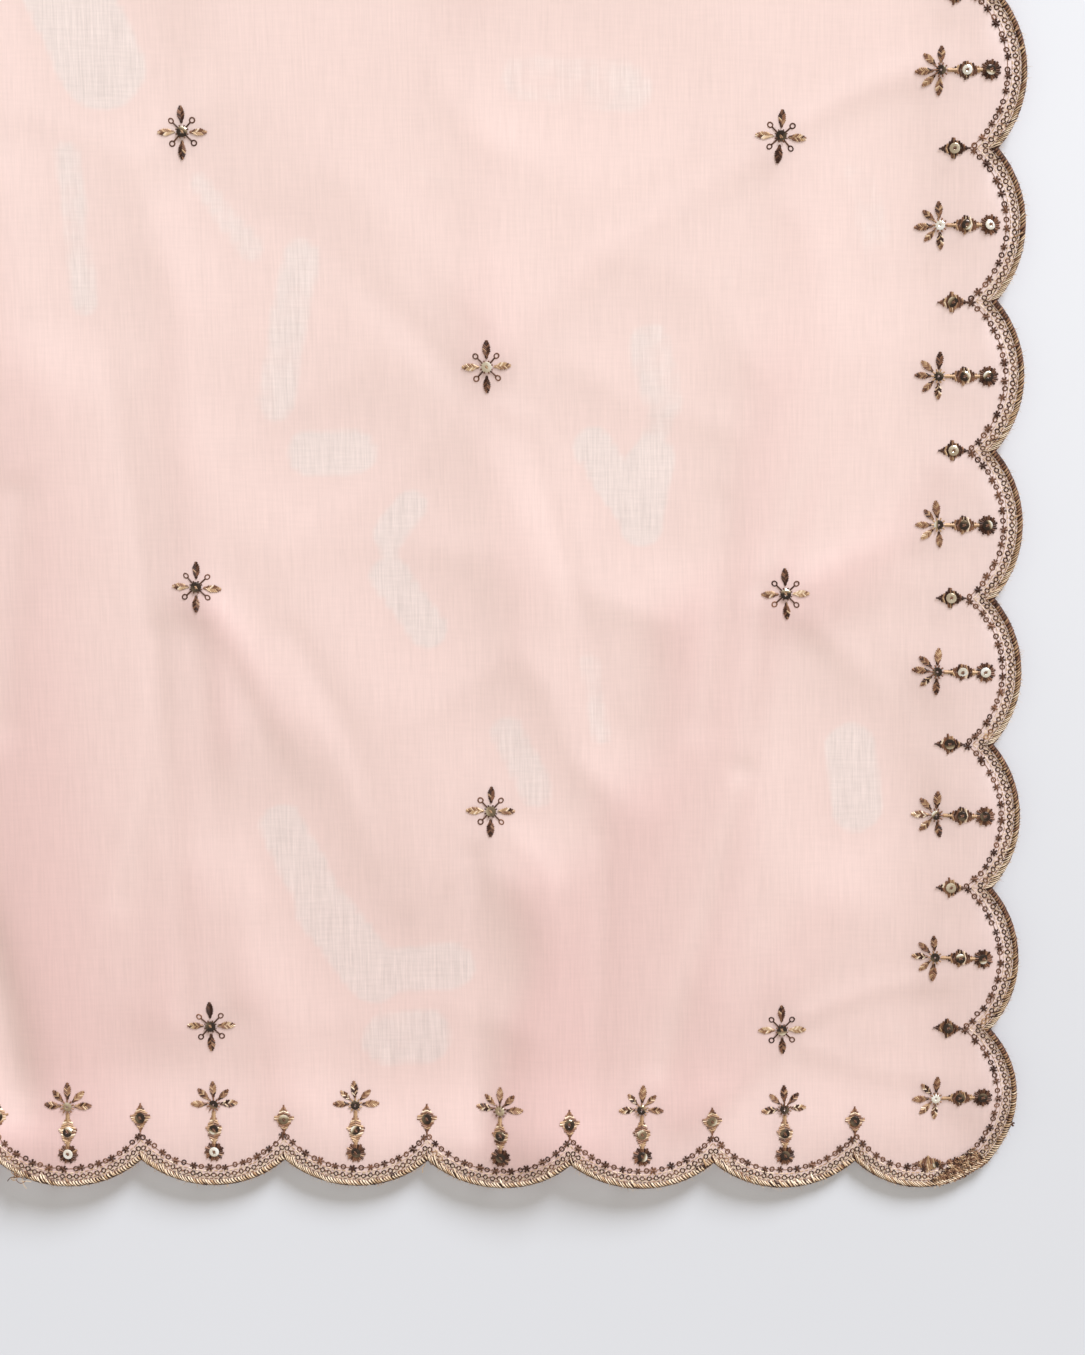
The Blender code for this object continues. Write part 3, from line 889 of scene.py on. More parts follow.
def thread_material():
    """Brown to antique gold embroidery thread; tone says how golden, and a painted shade darkens it towards
    the cloth's ends.
    """
    own = colours()
    nodes = Nodes("zari_thread")
    place = nodes.place()
    fibre = nodes.noise(place, 2600.0, 2.0, 0.6)
    patchy = nodes.noise(place, 160.0)
    tone = nodes.math("ADD", nodes.attribute("tone"), nodes.swing(fibre, 0.30))
    tone = nodes.math("ADD", tone, nodes.swing(patchy, 0.30), clamp=True)
    stops = ((0.0, own.thread_dark), (0.35, own.thread_mid), (0.70, own.thread_gold), (1.0, own.thread_pale))
    # painted shade: the thread darkens towards the cloth's two ends
    base = nodes.painted_end_shade(nodes.ramp(tone, stops), END_SHADE_THREAD)
    bump = nodes.bump(fibre, 0.35, 0.0002)
    return nodes.output(nodes.principled(base, 0.48, 0.25, Metallic=0.10, Normal=bump))


def sequin_material():
    """Glossy sequins whose colour is a painted reflection; tone says how much of the lamp one mirrors."""
    own = colours()
    nodes = Nodes("sequin")
    # random speckle in the painted reflection
    glint_speckle = nodes.noise(nodes.place(), 900.0)
    tone = nodes.math("ADD", nodes.attribute("tone"), nodes.swing(glint_speckle, 0.24), clamp=True)
    stops = ((0.0, own.sequin_dark), (0.45, SEQUIN_BRONZE), (0.75, SEQUIN_PEWTER), (1.0, own.sequin_bright))
    return nodes.output(nodes.principled(nodes.ramp(tone, stops), 0.22, 0.5, Metallic=0.6))


@functools.lru_cache(maxsize=1)
def materials():
    """The materials that several pieces share."""
    return {"organza": organza_material(), "thread": thread_material(), "sequin": sequin_material()}


# ---------------------------------------------------------------- cloth

# How finely each scallop of a side is divided: more where the cloth is seen close.
FINE_STEPS = 16
COARSE_STEPS = 8
FINE_ACROSS = 7
FINE_ALONG = 9
CLOTH_INSET = 0.0008
BORDER_BLEND = 0.030
# Painted shade of lifted cloth: how high a fold is where the cloth's colour starts to deepen, and how much
# higher it has
LIFT_SHADE_FROM = 0.0014
LIFT_SHADE_SPAN = 0.0050


def side_lines(count, fine_from, fine_to):
    """(scallop, share) of each line across a side, both ends included."""
    lines = []
    for number in range(count):
        steps = FINE_STEPS if fine_from <= number < fine_to else COARSE_STEPS
        lines.extend((number, step / steps) for step in range(steps))
    lines.append((count - 1, 1.0))
    return lines


def side_points(side, lines, backwards):
    """Outline points of a side at its lines, counted against the outline's way if backwards."""
    scallops = outline()[side]
    points = []
    for number, share in lines:
        scallop = scallops[len(scallops) - 1 - number] if backwards else scallops[number]
        points.append(arc_places(scallop, 1 - share if backwards else share, CLOTH_INSET))
    return np.array(points)


def line_places(lines, count, corner, whole):
    """Straight places of the lines along a side of the given length."""
    notches = notch_places(count, corner, whole)
    places = [notches[n] + (notches[n + 1] - notches[n]) * share for n, share in lines]
    return np.array(places) - whole / 2


def cloth_places(across, along):
    """Flat places of the cloth's net: a plain net, drawn out to the scallops near its edge."""
    own = cut()
    width, whole = cloth_size()
    flat_u = line_places(across, own.across, own.corner_across, width)
    flat_v = line_places(along, own.along, own.corner_along, whole)
    net = np.stack(np.meshgrid(flat_u, flat_v, indexing="ij"), axis=-1)
    foot = side_points("foot", across, False) - net[:, 0]
    head = side_points("head", across, True) - net[:, -1]
    right = side_points("right", along, False) - net[-1]
    left = side_points("left", along, True) - net[0]
    near_left = 1 - smooth((flat_u + width / 2) / BORDER_BLEND)
    near_right = 1 - smooth((width / 2 - flat_u) / BORDER_BLEND)
    near_foot = 1 - smooth((flat_v + whole / 2) / BORDER_BLEND)
    near_head = 1 - smooth((whole / 2 - flat_v) / BORDER_BLEND)
    shift = foot[:, None] * near_foot[None, :, None] + head[:, None] * near_head[None, :, None]
    shift = shift + left[None] * near_left[:, None, None] + right[None] * near_right[:, None, None]
    corners = (
        (foot[0], near_left, near_foot),
        (foot[-1], near_right, near_foot),
        (head[0], near_left, near_head),
        (head[-1], near_right, near_head),
    )
    for drawn, near_u, near_v in corners:
        shift = shift - drawn * near_u[:, None, None] * near_v[None, :, None]
    return net + shift


def build_cloth():
    """The organza panel as one thin sheet."""
    own = cut()
    across = side_lines(own.across, own.across - FINE_ACROSS, own.across)
    along = side_lines(own.along, 0, FINE_ALONG)
    places = cloth_places(across, along)
    bm = bmesh.new()
    bmesh.ops.create_grid(bm, x_segments=len(across) - 1, y_segments=len(along) - 1, size=0.5)
    mesh = bpy.data.meshes.new("panel_cloth")
    bm.to_mesh(mesh)
    bm.free()
    unit = np.empty(len(mesh.vertices) * 3)
    mesh.vertices.foreach_get("co", unit)
    unit = unit.reshape(-1, 3)
    i = np.rint((unit[:, 0] + 0.5) * (len(across) - 1)).astype(int)
    j = np.rint((unit[:, 1] + 0.5) * (len(along) - 1)).astype(int)
    u, v = drawn_in(*places[i, j].T)
    height = cloth_height(u, v)
    points = np.column_stack((u, v - own.skew * u, height + lie().cloth_lift))
    mesh.vertices.foreach_set("co", points.ravel())
    mesh.polygons.foreach_set("use_smooth", np.ones(len(mesh.polygons), bool))
    corners = np.empty(len(mesh.loops), int)
    mesh.loops.foreach_get("vertex_index", corners)
    mesh.uv_layers.new(name="weave").data.foreach_set("uv", np.column_stack((u, v))[corners].ravel())
    set_values(mesh, "touch", touch_look(u, v))
    # the lift share sets how much painted shade deepens the cloth's colour
    set_values(mesh, "lift", smooth((height - edge_height(u, v) - LIFT_SHADE_FROM) / LIFT_SHADE_SPAN))
    cloth = add_piece("panel_cloth", mesh, "organza")
    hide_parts("panel")
    return cloth


# ---------------------------------------------------------------- edging

# Painted sheen and shade: how golden each side's stitches are painted at the start, the middle and the end of
# a scallop, as their slant turns them to the light or away from it.
EDGING_PAINTED_SHEEN = {
    "foot": (0.60, 0.54, 0.56),
    "right": (0.50, 0.20, 0.06),
    "head": (0.34, 0.28, 0.38),
    "left": (0.14, 0.22, 0.46),
}
# How much more golden their outer ends are painted there, as a painted highlight or shade.
EDGING_RIM_PAINTED_SHEEN = {
    "foot": (-0.36, -0.40, -0.36),
    "right": (0.30, -0.06, -0.56),
    "head": (0.34, 0.34, 0.34),
    "left": (-0.50, 0.00, 0.30),
}
ALONG_SCALLOP = (0.0, 0.5, 1.0)

# The padded cord under the stitches, in shares of the edging's width and height
CORD_CELLS = 14
CORD_START = 0.08
CORD_WIDTH = 0.84
CORD_HEIGHT = 0.55
CORD_TONE = 0.10

# The satin stitches
SATIN_START = 0.0004       # from the outer edge to a stitch's outer end
SATIN_WAVER = 0.00012      # how unevenly both ends lie
SATIN_LAP = 1.15           # a stitch's width over the stitches' spacing
SATIN_RIDGE = 0.00016
SATIN_BASE = 0.00012
SATIN_CREASE = 1e-6        # too low to see: it settles which way a stitch's faces are split
# How much higher every second stitch stands and how much more golden it looks, and the others
SATIN_HEIGHTS = (0.10, -0.14)
SATIN_TONES = (0.44, -0.42)
LONG_SHARE = 0.16          # share of the stitches that run on over the cloth
LONG_REACH = 0.0006        # how far they usually do
LONG_MOST = 0.0018

# Cut thread ends
HAIR_STEP = 0.0008
HAIR_ROOT = 0.0003         # from the outer edge in to a hair's root
HAIR_WIDTH = 0.00012
HAIR_REACH = 0.0005
HAIR_SHORTEST = 0.0003
HAIR_LONGEST = 0.0022
HAIR_BASE = 0.0004


def by_turns(count, odd, even):
    """One value for the odd ones of a count, another for the even ones."""
    return np.where(np.arange(count) % 2, odd, even)


def build_edging(side):
    """One side's satin edging: a dark padded cord under close slanting stitches."""
    own = sewing()
    rng = draws(side)
    sewn = Sewn()
    cord = stitch_shape()
    stitch = strip_shape(3, halves=2, arch=1.0, ridge=SATIN_CREASE)
    for scallop in outline()[side]:
        x, y, z = rows(cord)
        share = (np.arange(CORD_CELLS)[:, None] + x) / CORD_CELLS
        inset = own.edging_width * (CORD_START + CORD_WIDTH * (y + 0.5))
        sewn.lay(cord, arc_places(scallop, share, inset), own.edging_height * CORD_HEIGHT * z, CORD_TONE)
        x, y, z = rows(stitch)
        run = arc_length(scallop, 0.0)
        count = round(run / own.stitch_pitch)
        middle = (np.arange(count) + 0.5) / count + rng.normal(0, 0.12 / count, count)
        start = SATIN_START + rng.normal(0, SATIN_WAVER, count)
        back = own.edging_width + rng.normal(0, SATIN_WAVER, count)
        runs_on = rng.random(count) < LONG_SHARE
        back = back + np.where(runs_on, rng.exponential(LONG_REACH, count), 0.0).clip(0, LONG_MOST)
        slant = own.stitch_slant * own.edging_width * (x - 0.5)
        share = middle[:, None] + (y * own.stitch_pitch * SATIN_LAP - slant) / run
        inset = start[:, None] + (back - start)[:, None] * x
        fullness = rng.normal(1, 0.08, count) + by_turns(count, *SATIN_HEIGHTS)
        rise = z * own.edging_height * fullness[:, None] + (1 - np.abs(2 * y)) * SATIN_RIDGE + SATIN_BASE
        # painted sheen and shade by the stitches' slant to the light
        rim = np.interp(middle, ALONG_SCALLOP, EDGING_RIM_PAINTED_SHEEN[side])
        gold = np.interp(middle, ALONG_SCALLOP, EDGING_PAINTED_SHEEN[side]) + rng.normal(-0.04, 0.13, count)
        gold = gold + by_turns(count, *SATIN_TONES)
        tones = gold[:, None] + rim[:, None] * (1 - x) ** 2
        sewn.lay(stitch, arc_places(scallop, share, inset), rise, tones)
    piece = sewn.finish(f"satin_{side}")
    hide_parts(f"edging_{side}")


def build_fuzz():
    """Cut thread ends that stand out of the edging."""
    rng = draws("fuzz")
    sewn = Sewn()
    hair = strip_shape(2)
    x, y, z = rows(hair)
    for scallop in all_scallops():
        run = arc_length(scallop, 0.0)
        count = round(run / HAIR_STEP)
        root = rng.random(count)[:, None]
        reach = rng.exponential(HAIR_REACH, count).clip(HAIR_SHORTEST, HAIR_LONGEST)[:, None]
        lean = rng.normal(0, 0.8, count)[:, None]
        share = root + (lean * reach * x + y * HAIR_WIDTH * (1.2 - x)) / run
        inset = HAIR_ROOT - (reach + HAIR_ROOT) * x
        rise = HAIR_BASE + z + x * rng.normal(0.0001, 0.0003, count)[:, None]
        sewn.lay(hair, arc_places(scallop, share, inset), rise, rng.uniform(0.5, 1.0, count)[:, None])
    sewn.finish("edge_fuzz")


# ---------------------------------------------------------------- thread lines inside the edging

# The chain
CHAIN_THREAD = 0.00072     # width of the thread in a ring
CHAIN_HEIGHT = 0.00034
CHAIN_LINK = Thread(0.0005, 0.0002, 0.0003)
CHAIN_LINK_RUN = 0.0013    # length of the stitch between two rings
CHAIN_LINK_SLANT = 0.0006
# Painted glints: some chain rings near a scallop's start are painted paler, as if they catch the light
GLINT_SCALLOPS = (1, 3)   # of every five, those whose chain shines near the start
GLINT_FROM = 0.03
GLINT_TO = 0.15

# Zigzag threads under the chain: width and height of the thread, and how much higher every
# second one lies.
BED_THREAD = Thread(0.0003, 0.0, 0.00012)
BED_STEP_UP = 0.00004
Zigzag = namedtuple("Zigzag", "middle width step tone")

# Lines of running stitches
RUNNING_THREAD = Thread(0.00042, 0.00018, 0.0002)
RUNNING_SHARE = 0.72       # of each step that the stitch covers
RunningLine = namedtuple("RunningLine", "inset step tone")

# The dotted row
ROW_THREAD = 0.00070
ROW_HEIGHT = 0.00030
ROW_LINK = Thread(0.00034, 0.00012, 0.00012)
KNOT_THREAD = Thread(0.00085, 0.00035, 0.0001)


def even_shares(scallop, inset, step):
    """Shares of things set evenly along a scallop."""
    count = max(1, round(arc_length(scallop, inset) / step))
    return (np.arange(count) + 0.5) / count


def build_chain():
    """A chain of thread rings with a short stitch between them."""
    own = sewing()
    rng = draws("chain")
    sewn = Sewn()
    ring = hoop_shape(own.chain_ring / 2, CHAIN_THREAD, CHAIN_HEIGHT)
    x, y, z = rows(stitch_shape())
    along_link = x - 0.5
    for scallop in all_scallops():
        run = arc_length(scallop, own.chain_inset)
        shares = even_shares(scallop, own.chain_inset, own.chain_step)
        between = shares[:-1, None] + 0.5 / len(shares) + along_link * CHAIN_LINK_RUN / run
        inset = own.chain_inset + y * CHAIN_LINK.width + along_link * CHAIN_LINK_SLANT
        rise = CHAIN_LINK.base + CHAIN_LINK.height * z
        tones = 0.22 + rng.normal(0, 0.12, (len(shares) - 1, 1))
        sewn.lay(stitch_shape(), arc_places(scallop, between, inset), rise, tones)
        for share in shares:
            place = arc_places(scallop, share, own.chain_inset + rng.normal(0, 0.00012))
            tone = rng.normal(0.01, TONE_WAVER)
            # painted glint on these rings
            if scallop.number % 5 in GLINT_SCALLOPS and GLINT_FROM < share < GLINT_TO:
                tone += rng.uniform(0.0, 0.9)
            across, along = directions(rng.random() * math.pi)
            sewn.place(ring, place, across, along * rng.uniform(0.82, 1.0), tone)
    sewn.finish("chain_rings")


def build_chain_bed():
    """Pale zigzag threads: a broad one under the chain, a close one between it and the edging."""
    own = sewing()
    rng = draws("chain bed")
    sewn = Sewn()
    thread = strip_shape(1)
    x, y, z = rows(thread)
    beds = (Zigzag(own.chain_inset, 0.0028, 0.00110, 0.76),
            Zigzag(own.edging_width + 0.0008, 0.0018, 0.00080, 0.90))
    for scallop in all_scallops():
        for bed in beds:
            count = round(arc_length(scallop, bed.middle) / bed.step)
            number = np.arange(count)[:, None]
            share = (number + x + y * BED_THREAD.width / bed.step) / count
            inset = bed.middle + np.where(number % 2, 1, -1) * (x - 0.5) * bed.width
            rise = BED_THREAD.base + BED_STEP_UP * (number % 2) + z
            # painted sheen: the zigzag is painted paler on the foot and head
            tones = bed.tone + 0.36 * abs(scallop.outward[1]) + rng.normal(0, 0.10, (count, 1))
            sewn.lay(thread, arc_places(scallop, share, inset), rise, tones)
    sewn.finish("chain_bed")


def build_running():
    """Two lines of fine running stitches beside the chain."""
    own = sewing()
    rng = draws("running")
    sewn = Sewn()
    x, y, z = rows(stitch_shape())
    lines = (RunningLine(own.edging_width + 0.0006, 0.0021, 0.26),
             RunningLine(own.chain_inset + 0.0019, 0.0023, 0.80))
    for scallop in all_scallops():
        for line in lines:
            run = arc_length(scallop, line.inset)
            shares = even_shares(scallop, line.inset, line.step)
            share = shares[:, None] + (x - 0.5) * line.step * RUNNING_SHARE / run
            wander = rng.normal(0, 0.00010, len(shares))[:, None]
            places = arc_places(scallop, share, line.inset + y * RUNNING_THREAD.width + wander)
            tones = rng.normal(line.tone, 0.15, len(shares))[:, None]
            sewn.lay(stitch_shape(), places, RUNNING_THREAD.base + RUNNING_THREAD.height * z, tones)
    sewn.finish("running_stitches")


def knot_shape(width, lift=0.0):
    """A star knot: three stitches that cross, each over the one before."""
    arms = []
    for number in range(3):
        end = directions(math.pi * number / 3 + 0.2)[0] * width / 2
        thread = KNOT_THREAD._replace(base=KNOT_THREAD.base * (number + 1) + lift)
        arms.append(stitch_between(-end, end, thread, 0.05 * number))
    return joined(arms)


def build_row():
    """The dotted row: star knots and rings in turn, linked by a thread."""
    own = sewing()
    rng = draws("row")
    knots, rings = Sewn(), Sewn()
    knot = knot_shape(own.row_knot)
    ring = hoop_shape(own.row_ring / 2, ROW_THREAD, ROW_HEIGHT)
    x, y, z = rows(stitch_shape())
    for scallop in all_scallops():
        run = arc_length(scallop, own.row_inset)
        count = 2 * round(run / own.row_step / 2)
        for number in range(count):
            inset = own.row_inset + rng.normal(0, 0.00022)
            share = (number + 0.5) / count + rng.normal(0, 0.0004) / run
            place = arc_places(scallop, share, inset)
            across, along = directions(rng.random() * math.pi)
            tone = rng.normal(0, TONE_WAVER)
            if number % 2:
                knots.place(knot, place, across, along, tone + 0.04, rng.uniform(0.9, 1.12))
            else:
                rings.place(ring, place, across, along * rng.uniform(0.86, 1.0), tone + 0.12)
        share = (np.arange(count)[:, None] + x) / count
        places = arc_places(scallop, share, own.row_inset + y * ROW_LINK.width)
        knots.lay(stitch_shape(), places, ROW_LINK.base + ROW_LINK.height * z, 0.30)
    knots.finish("row_knots")
    rings.finish("row_rings")


# ---------------------------------------------------------------- motifs

# How many different petals, lozenges and hoops are stitched before they repeat
PETAL_KINDS = 4
OTHER_KINDS = 3

# Threads of the motifs
PETAL_THREAD = Thread(0.00080, 0.00032, 0.00018)
LOZENGE_THREAD = Thread(0.00095, 0.00035, 0.0002)
LOZENGE_POINT = Thread(0.0008, 0.0004, 0.0003)
HOOP_THREAD = Thread(0.0010, 0.0004, 0.0002)
BURST_THREAD = Thread(0.0007, 0.0003, 0.0007)
SPRAY_STEM = Thread(0.0017, 0.0005, 0.0003)
FIELD_STEM = Thread(0.0007, 0.0003, 0.0002)

PETAL_ROWS = 8
LOZENGE_ROWS = 13
HOOP_TEETH = 22
# Lozenges: how long and how wide
SPRAY_LOZENGE = (0.0144, 0.0068)
DROP_LOZENGE = (0.0118, 0.0080)
CORNER_LOZENGE = (0.0150, 0.0066)
# Rings: outer radius, then the inner radius of a stitched one, or width and height of a thread
SPRAY_HOOP = (0.0045, 0.0017)
FIELD_RING = (0.0015, 0.0007, 0.0003)
# Short stitches round a sequin: outer and inner radius, number and tone
SPRAY_BURST = (0.0032, 0.0005, 10, 0.40)
FIELD_BURST = (0.0030, 0.0018, 8, 0.20)
SEQUIN_BASE = 0.00085      # height of a sequin's rim over the cloth
OVER_SEQUIN = 0.0010       # and that of the star knot that holds it


def petal_shape(own, rng):
    """A satin-stitched leaf along +X from the origin."""
    padding = Thread(own.petal_width * 0.45, 0.00015, 0.00005)
    pieces = [stitch_between((own.petal * 0.06, 0), (own.petal * 0.92, 0), padding, -0.12)]
    for row in range(PETAL_ROWS):
        share = (row + 0.4) / PETAL_ROWS
        fullness = math.sin(math.pi * share ** 0.85) ** 0.8
        half = own.petal_width / 2 * max(fullness, 0.22)
        for hand in (-1, 1):
            start = (own.petal * (share - 0.04), -hand * 0.0001)
            reach = half * rng.uniform(0.9, 1.1)
            end = (own.petal * (share + 0.20 * (1 - share * 0.4)), hand * reach)
            pieces.append(stitch_between(start, end, PETAL_THREAD, rng.normal(0, 0.26)))
    return joined(pieces)


def lozenge_shape(rng, long, wide):
    """A satin-stitched lozenge with its long way along Y, round a middle left for a sequin."""
    pieces = []
    for row in range(LOZENGE_ROWS):
        share = (row + 0.5) / LOZENGE_ROWS * 2 - 1
        half = wide / 2 * (1 - abs(share) ** 1.3) + 0.0004
        y = share * long / 2
        lean = 0.0009 if share > 0 else -0.0009
        for hand in (-1, 1):
            tone = rng.normal(0.42 - 0.25 * abs(share) + (0.32 if row % 3 == 1 else -0.10), 0.16)
            end = (hand * half * rng.uniform(0.84, 1.14), y - lean)
            pieces.append(stitch_between((0, y), end, LOZENGE_THREAD, tone))
    for end in (-long, long):
        pieces.append(stitch_between((0, end * 0.36), (0, end * 0.56), LOZENGE_POINT, 0.15))
    return joined(pieces)


def hooped_shape(rng, outer, inner):
    """A ring of radial stitches with a toothed rim."""
    pieces = []
    for number in range(HOOP_TEETH):
        turn = 2 * math.pi * number / HOOP_TEETH
        reach = outer * (1.0 if number % 2 else 0.88)
        start = directions(turn)[0] * inner
        end = directions(turn + 0.12)[0] * reach
        pieces.append(stitch_between(start, end, HOOP_THREAD, rng.normal(0.14, 0.15)))
    return joined(pieces)


def burst_shape(outer, inner, rays, tone):
    """Short stitches out of a middle."""
    ways = [directions(2 * math.pi * (number + 0.5) / rays)[0] for number in range(rays)]
    return joined([stitch_between(way * inner, way * outer, BURST_THREAD, tone) for way in ways])


def sequin_shape(width):
    """A cupped sequin with a hole."""
    rings = ((width * 0.50, 0.0), (width * 0.40, 0.00022), (width * 0.20, 0.00034), (width * 0.10, 0.00012))
    return round_shape(SEQUIN_SIDES, rings)


# A sequin's painted reflection of the room: its middle tone, how far its two halves differ, and its share of
# all sequins.
Glint = namedtuple("Glint", "middle spread share")
SEQUIN_GLINTS = (
    Glint(0.08, 0.10, 0.30),
    Glint(0.42, 0.50, 0.36),
    Glint(0.50, 0.25, 0.16),
    Glint(0.95, 0.10, 0.18),
)
GLINT_SHARES = [glint.share for glint in SEQUIN_GLINTS]


def place_sequin(sewn, sequin, origin, across, along, rng, bright=1.0):
    """A sequin tipped a little out of the cloth, with a painted glint in its tones; bright scales the painted
    glint.
    """
    tip = rng.normal(0, 0.10, 2)
    points = sequin.points.copy()
    points[:, 2] += points[:, :2] @ tip + SEQUIN_BASE
    glint = SEQUIN_GLINTS[rng.choice(len(SEQUIN_GLINTS), p=GLINT_SHARES)]
    way = directions(rng.random() * 2 * math.pi)[0]
    reach = points[:, :2] @ way / np.abs(points[:, :2]).max()
    tones = (glint.middle + glint.spread * np.clip(3 * (reach - 0.40), -1.0, 1.0)) * bright
    sewn.place(Shape(points, sequin.faces, tones), origin, across, along)


# A spray: how its petals are turned and how far out they start, how far in from its flower its
# lozenge and its hoop lie, and where its two stems start and end
SPRAY_PETALS = (-90, -45, 0, 45, 90)
SPRAY_PETAL_FROM = 0.0029
LOZENGE_BACK = 0.0112
HOOP_BACK = 0.0213
SPRAY_STEMS = ((0.0028, LOZENGE_BACK - 0.0042), (LOZENGE_BACK + 0.0042, HOOP_BACK - 0.0036))
STEM_TONE = 0.60
PLACE_WAVER = 0.0003       # how unevenly sprays and drops are placed


def build_sprays():
    """A spray in each scallop: a half flower, a lozenge and a ring on one stem."""
    own = sewing()
    rng = draws("sprays")
    threads, sequins = Sewn(), Sewn()
    petals = [petal_shape(own, rng) for kind in range(PETAL_KINDS)]
    lozenges = [lozenge_shape(rng, *SPRAY_LOZENGE) for kind in range(OTHER_KINDS)]
    hoops = [hooped_shape(rng, *SPRAY_HOOP) for kind in range(OTHER_KINDS)]
    burst = burst_shape(*SPRAY_BURST)
    stems = [stitch_between((0, -start), (0, -end), SPRAY_STEM, STEM_TONE) for start, end in SPRAY_STEMS]
    cross = knot_shape(0.0026, OVER_SEQUIN)
    large = sequin_shape(own.sequin * 0.90)
    small = sequin_shape(own.sequin * 0.86)
    for scallop in all_scallops():
        at_corner = scallop.number in (0, len(outline()[scallop.side]) - 1)
        if at_corner and scallop.side in ("foot", "head"):
            continue
        inward = -scallop.outward
        side = scallop.along
        tip = scallop.centre + scallop.outward * scallop.radius
        origin = tip + inward * own.spray_inset + rng.normal(0, PLACE_WAVER, 2)
        for degrees in SPRAY_PETALS:
            turn = math.radians(degrees + rng.normal(0, 3))
            way = inward * math.cos(turn) + side * math.sin(turn)
            across = np.array((-way[1], way[0]))
            # painted sheen: petals across the cloth are painted more golden
            gold = 0.26 + 0.10 * abs(way[0]) + rng.normal(0, TONE_WAVER)
            size = rng.uniform(0.92, 1.08) * (0.9 if abs(degrees) == 45 else 1.0)
            start = origin + way * SPRAY_PETAL_FROM
            threads.place(petals[rng.integers(PETAL_KINDS)], start, way, across, gold, size)
        # painted glint: sequins on the sides are painted brighter
        place_sequin(sequins, small, origin, side, inward, rng, 0.55 + 0.45 * abs(inward[0]))
        threads.place(burst, origin, side, inward, rng.normal(0, 0.15))
        middle = origin - inward * LOZENGE_BACK
        lozenge = lozenges[rng.integers(OTHER_KINDS)]
        # painted sheen: lozenges on the foot and head are painted more golden
        gold = 0.25 * abs(inward[1]) + rng.normal(-0.06, 0.06)
        threads.place(lozenge, middle, side, inward, gold)
        place_sequin(sequins, small, middle, side, inward, rng)
        end = origin - inward * HOOP_BACK
        threads.place(hoops[rng.integers(OTHER_KINDS)], end, side, inward, rng.normal(0, 0.06))
        place_sequin(sequins, large, end, side, inward, rng)
        for place in (middle, end):
            threads.place(cross, place, side, inward, 0.15, 0.8)
        for stem in stems:
            threads.place(stem, origin, side, inward)
    threads.finish("spray_threads")
    sequins.finish("spray_sequins", "sequin")


def build_drops():
    """A lozenge drop inside each notch."""
    own = sewing()
    rng = draws("drops")
    threads, sequins = Sewn(), Sewn()
    drops = [lozenge_shape(rng, *DROP_LOZENGE) for kind in range(OTHER_KINDS)]
    cross = knot_shape(0.0022, OVER_SEQUIN)
    sequin = sequin_shape(own.sequin * 0.92)
    for scallop in all_scallops():
        if scallop.number == 0:
            continue
        inward = scallop.start_in
        side = np.array((inward[1], -inward[0]))
        origin = scallop.start + inward * own.drop_inset + rng.normal(0, PLACE_WAVER, 2)
        drop = drops[rng.integers(OTHER_KINDS)]
        # painted sheen and glint: drops and their sequins on the foot and head are painted brighter
        threads.place(drop, origin, side, inward, 0.30 * abs(inward[1]) + rng.normal(-0.12, TONE_WAVER))
        place_sequin(sequins, sequin, origin, side, inward, rng, 0.66 + 0.34 * abs(inward[1]))
        threads.place(cross, origin, side, inward, 0.12, 0.8)
    threads.finish("drop_threads")
    sequins.finish("drop_sequins", "sequin")


def field_places():
    """Middles of the field motifs, in staggered rows over every fourth scallop."""
    own, sizes = cut(), sewing()
    width, whole = cloth_size()
    first = own.corner_across + own.pitch / 2
    step = (whole - 2 * sizes.motif_row) / (sizes.motif_rows - 1)
    places = []
    for row in range(sizes.motif_rows):
        right = first + (2 * own.pitch if row % 2 else 0.0)
        while right < width - own.pitch:
            places.append((width / 2 - right, -whole / 2 + sizes.motif_row + row * step))
            right += 4 * own.pitch
    return np.array(places)


# A field motif, from its middle outwards: to the petals across the cloth, to those along it, to
# the rings, and to both ends of the rings' stems
PETAL_FROM_ACROSS = 0.0031
PETAL_FROM_ALONG = 0.0036
FIELD_RING_AT = 0.0067
FIELD_STEM_RUN = (0.0022, 0.0054)


def petal_painted_sheen(way):
    """How golden a petal is painted by its way, a painted sheen: those across the cloth shine, those along it
    don't.
    """
    return 0.04 + 0.50 * abs(way[0]) ** 1.5


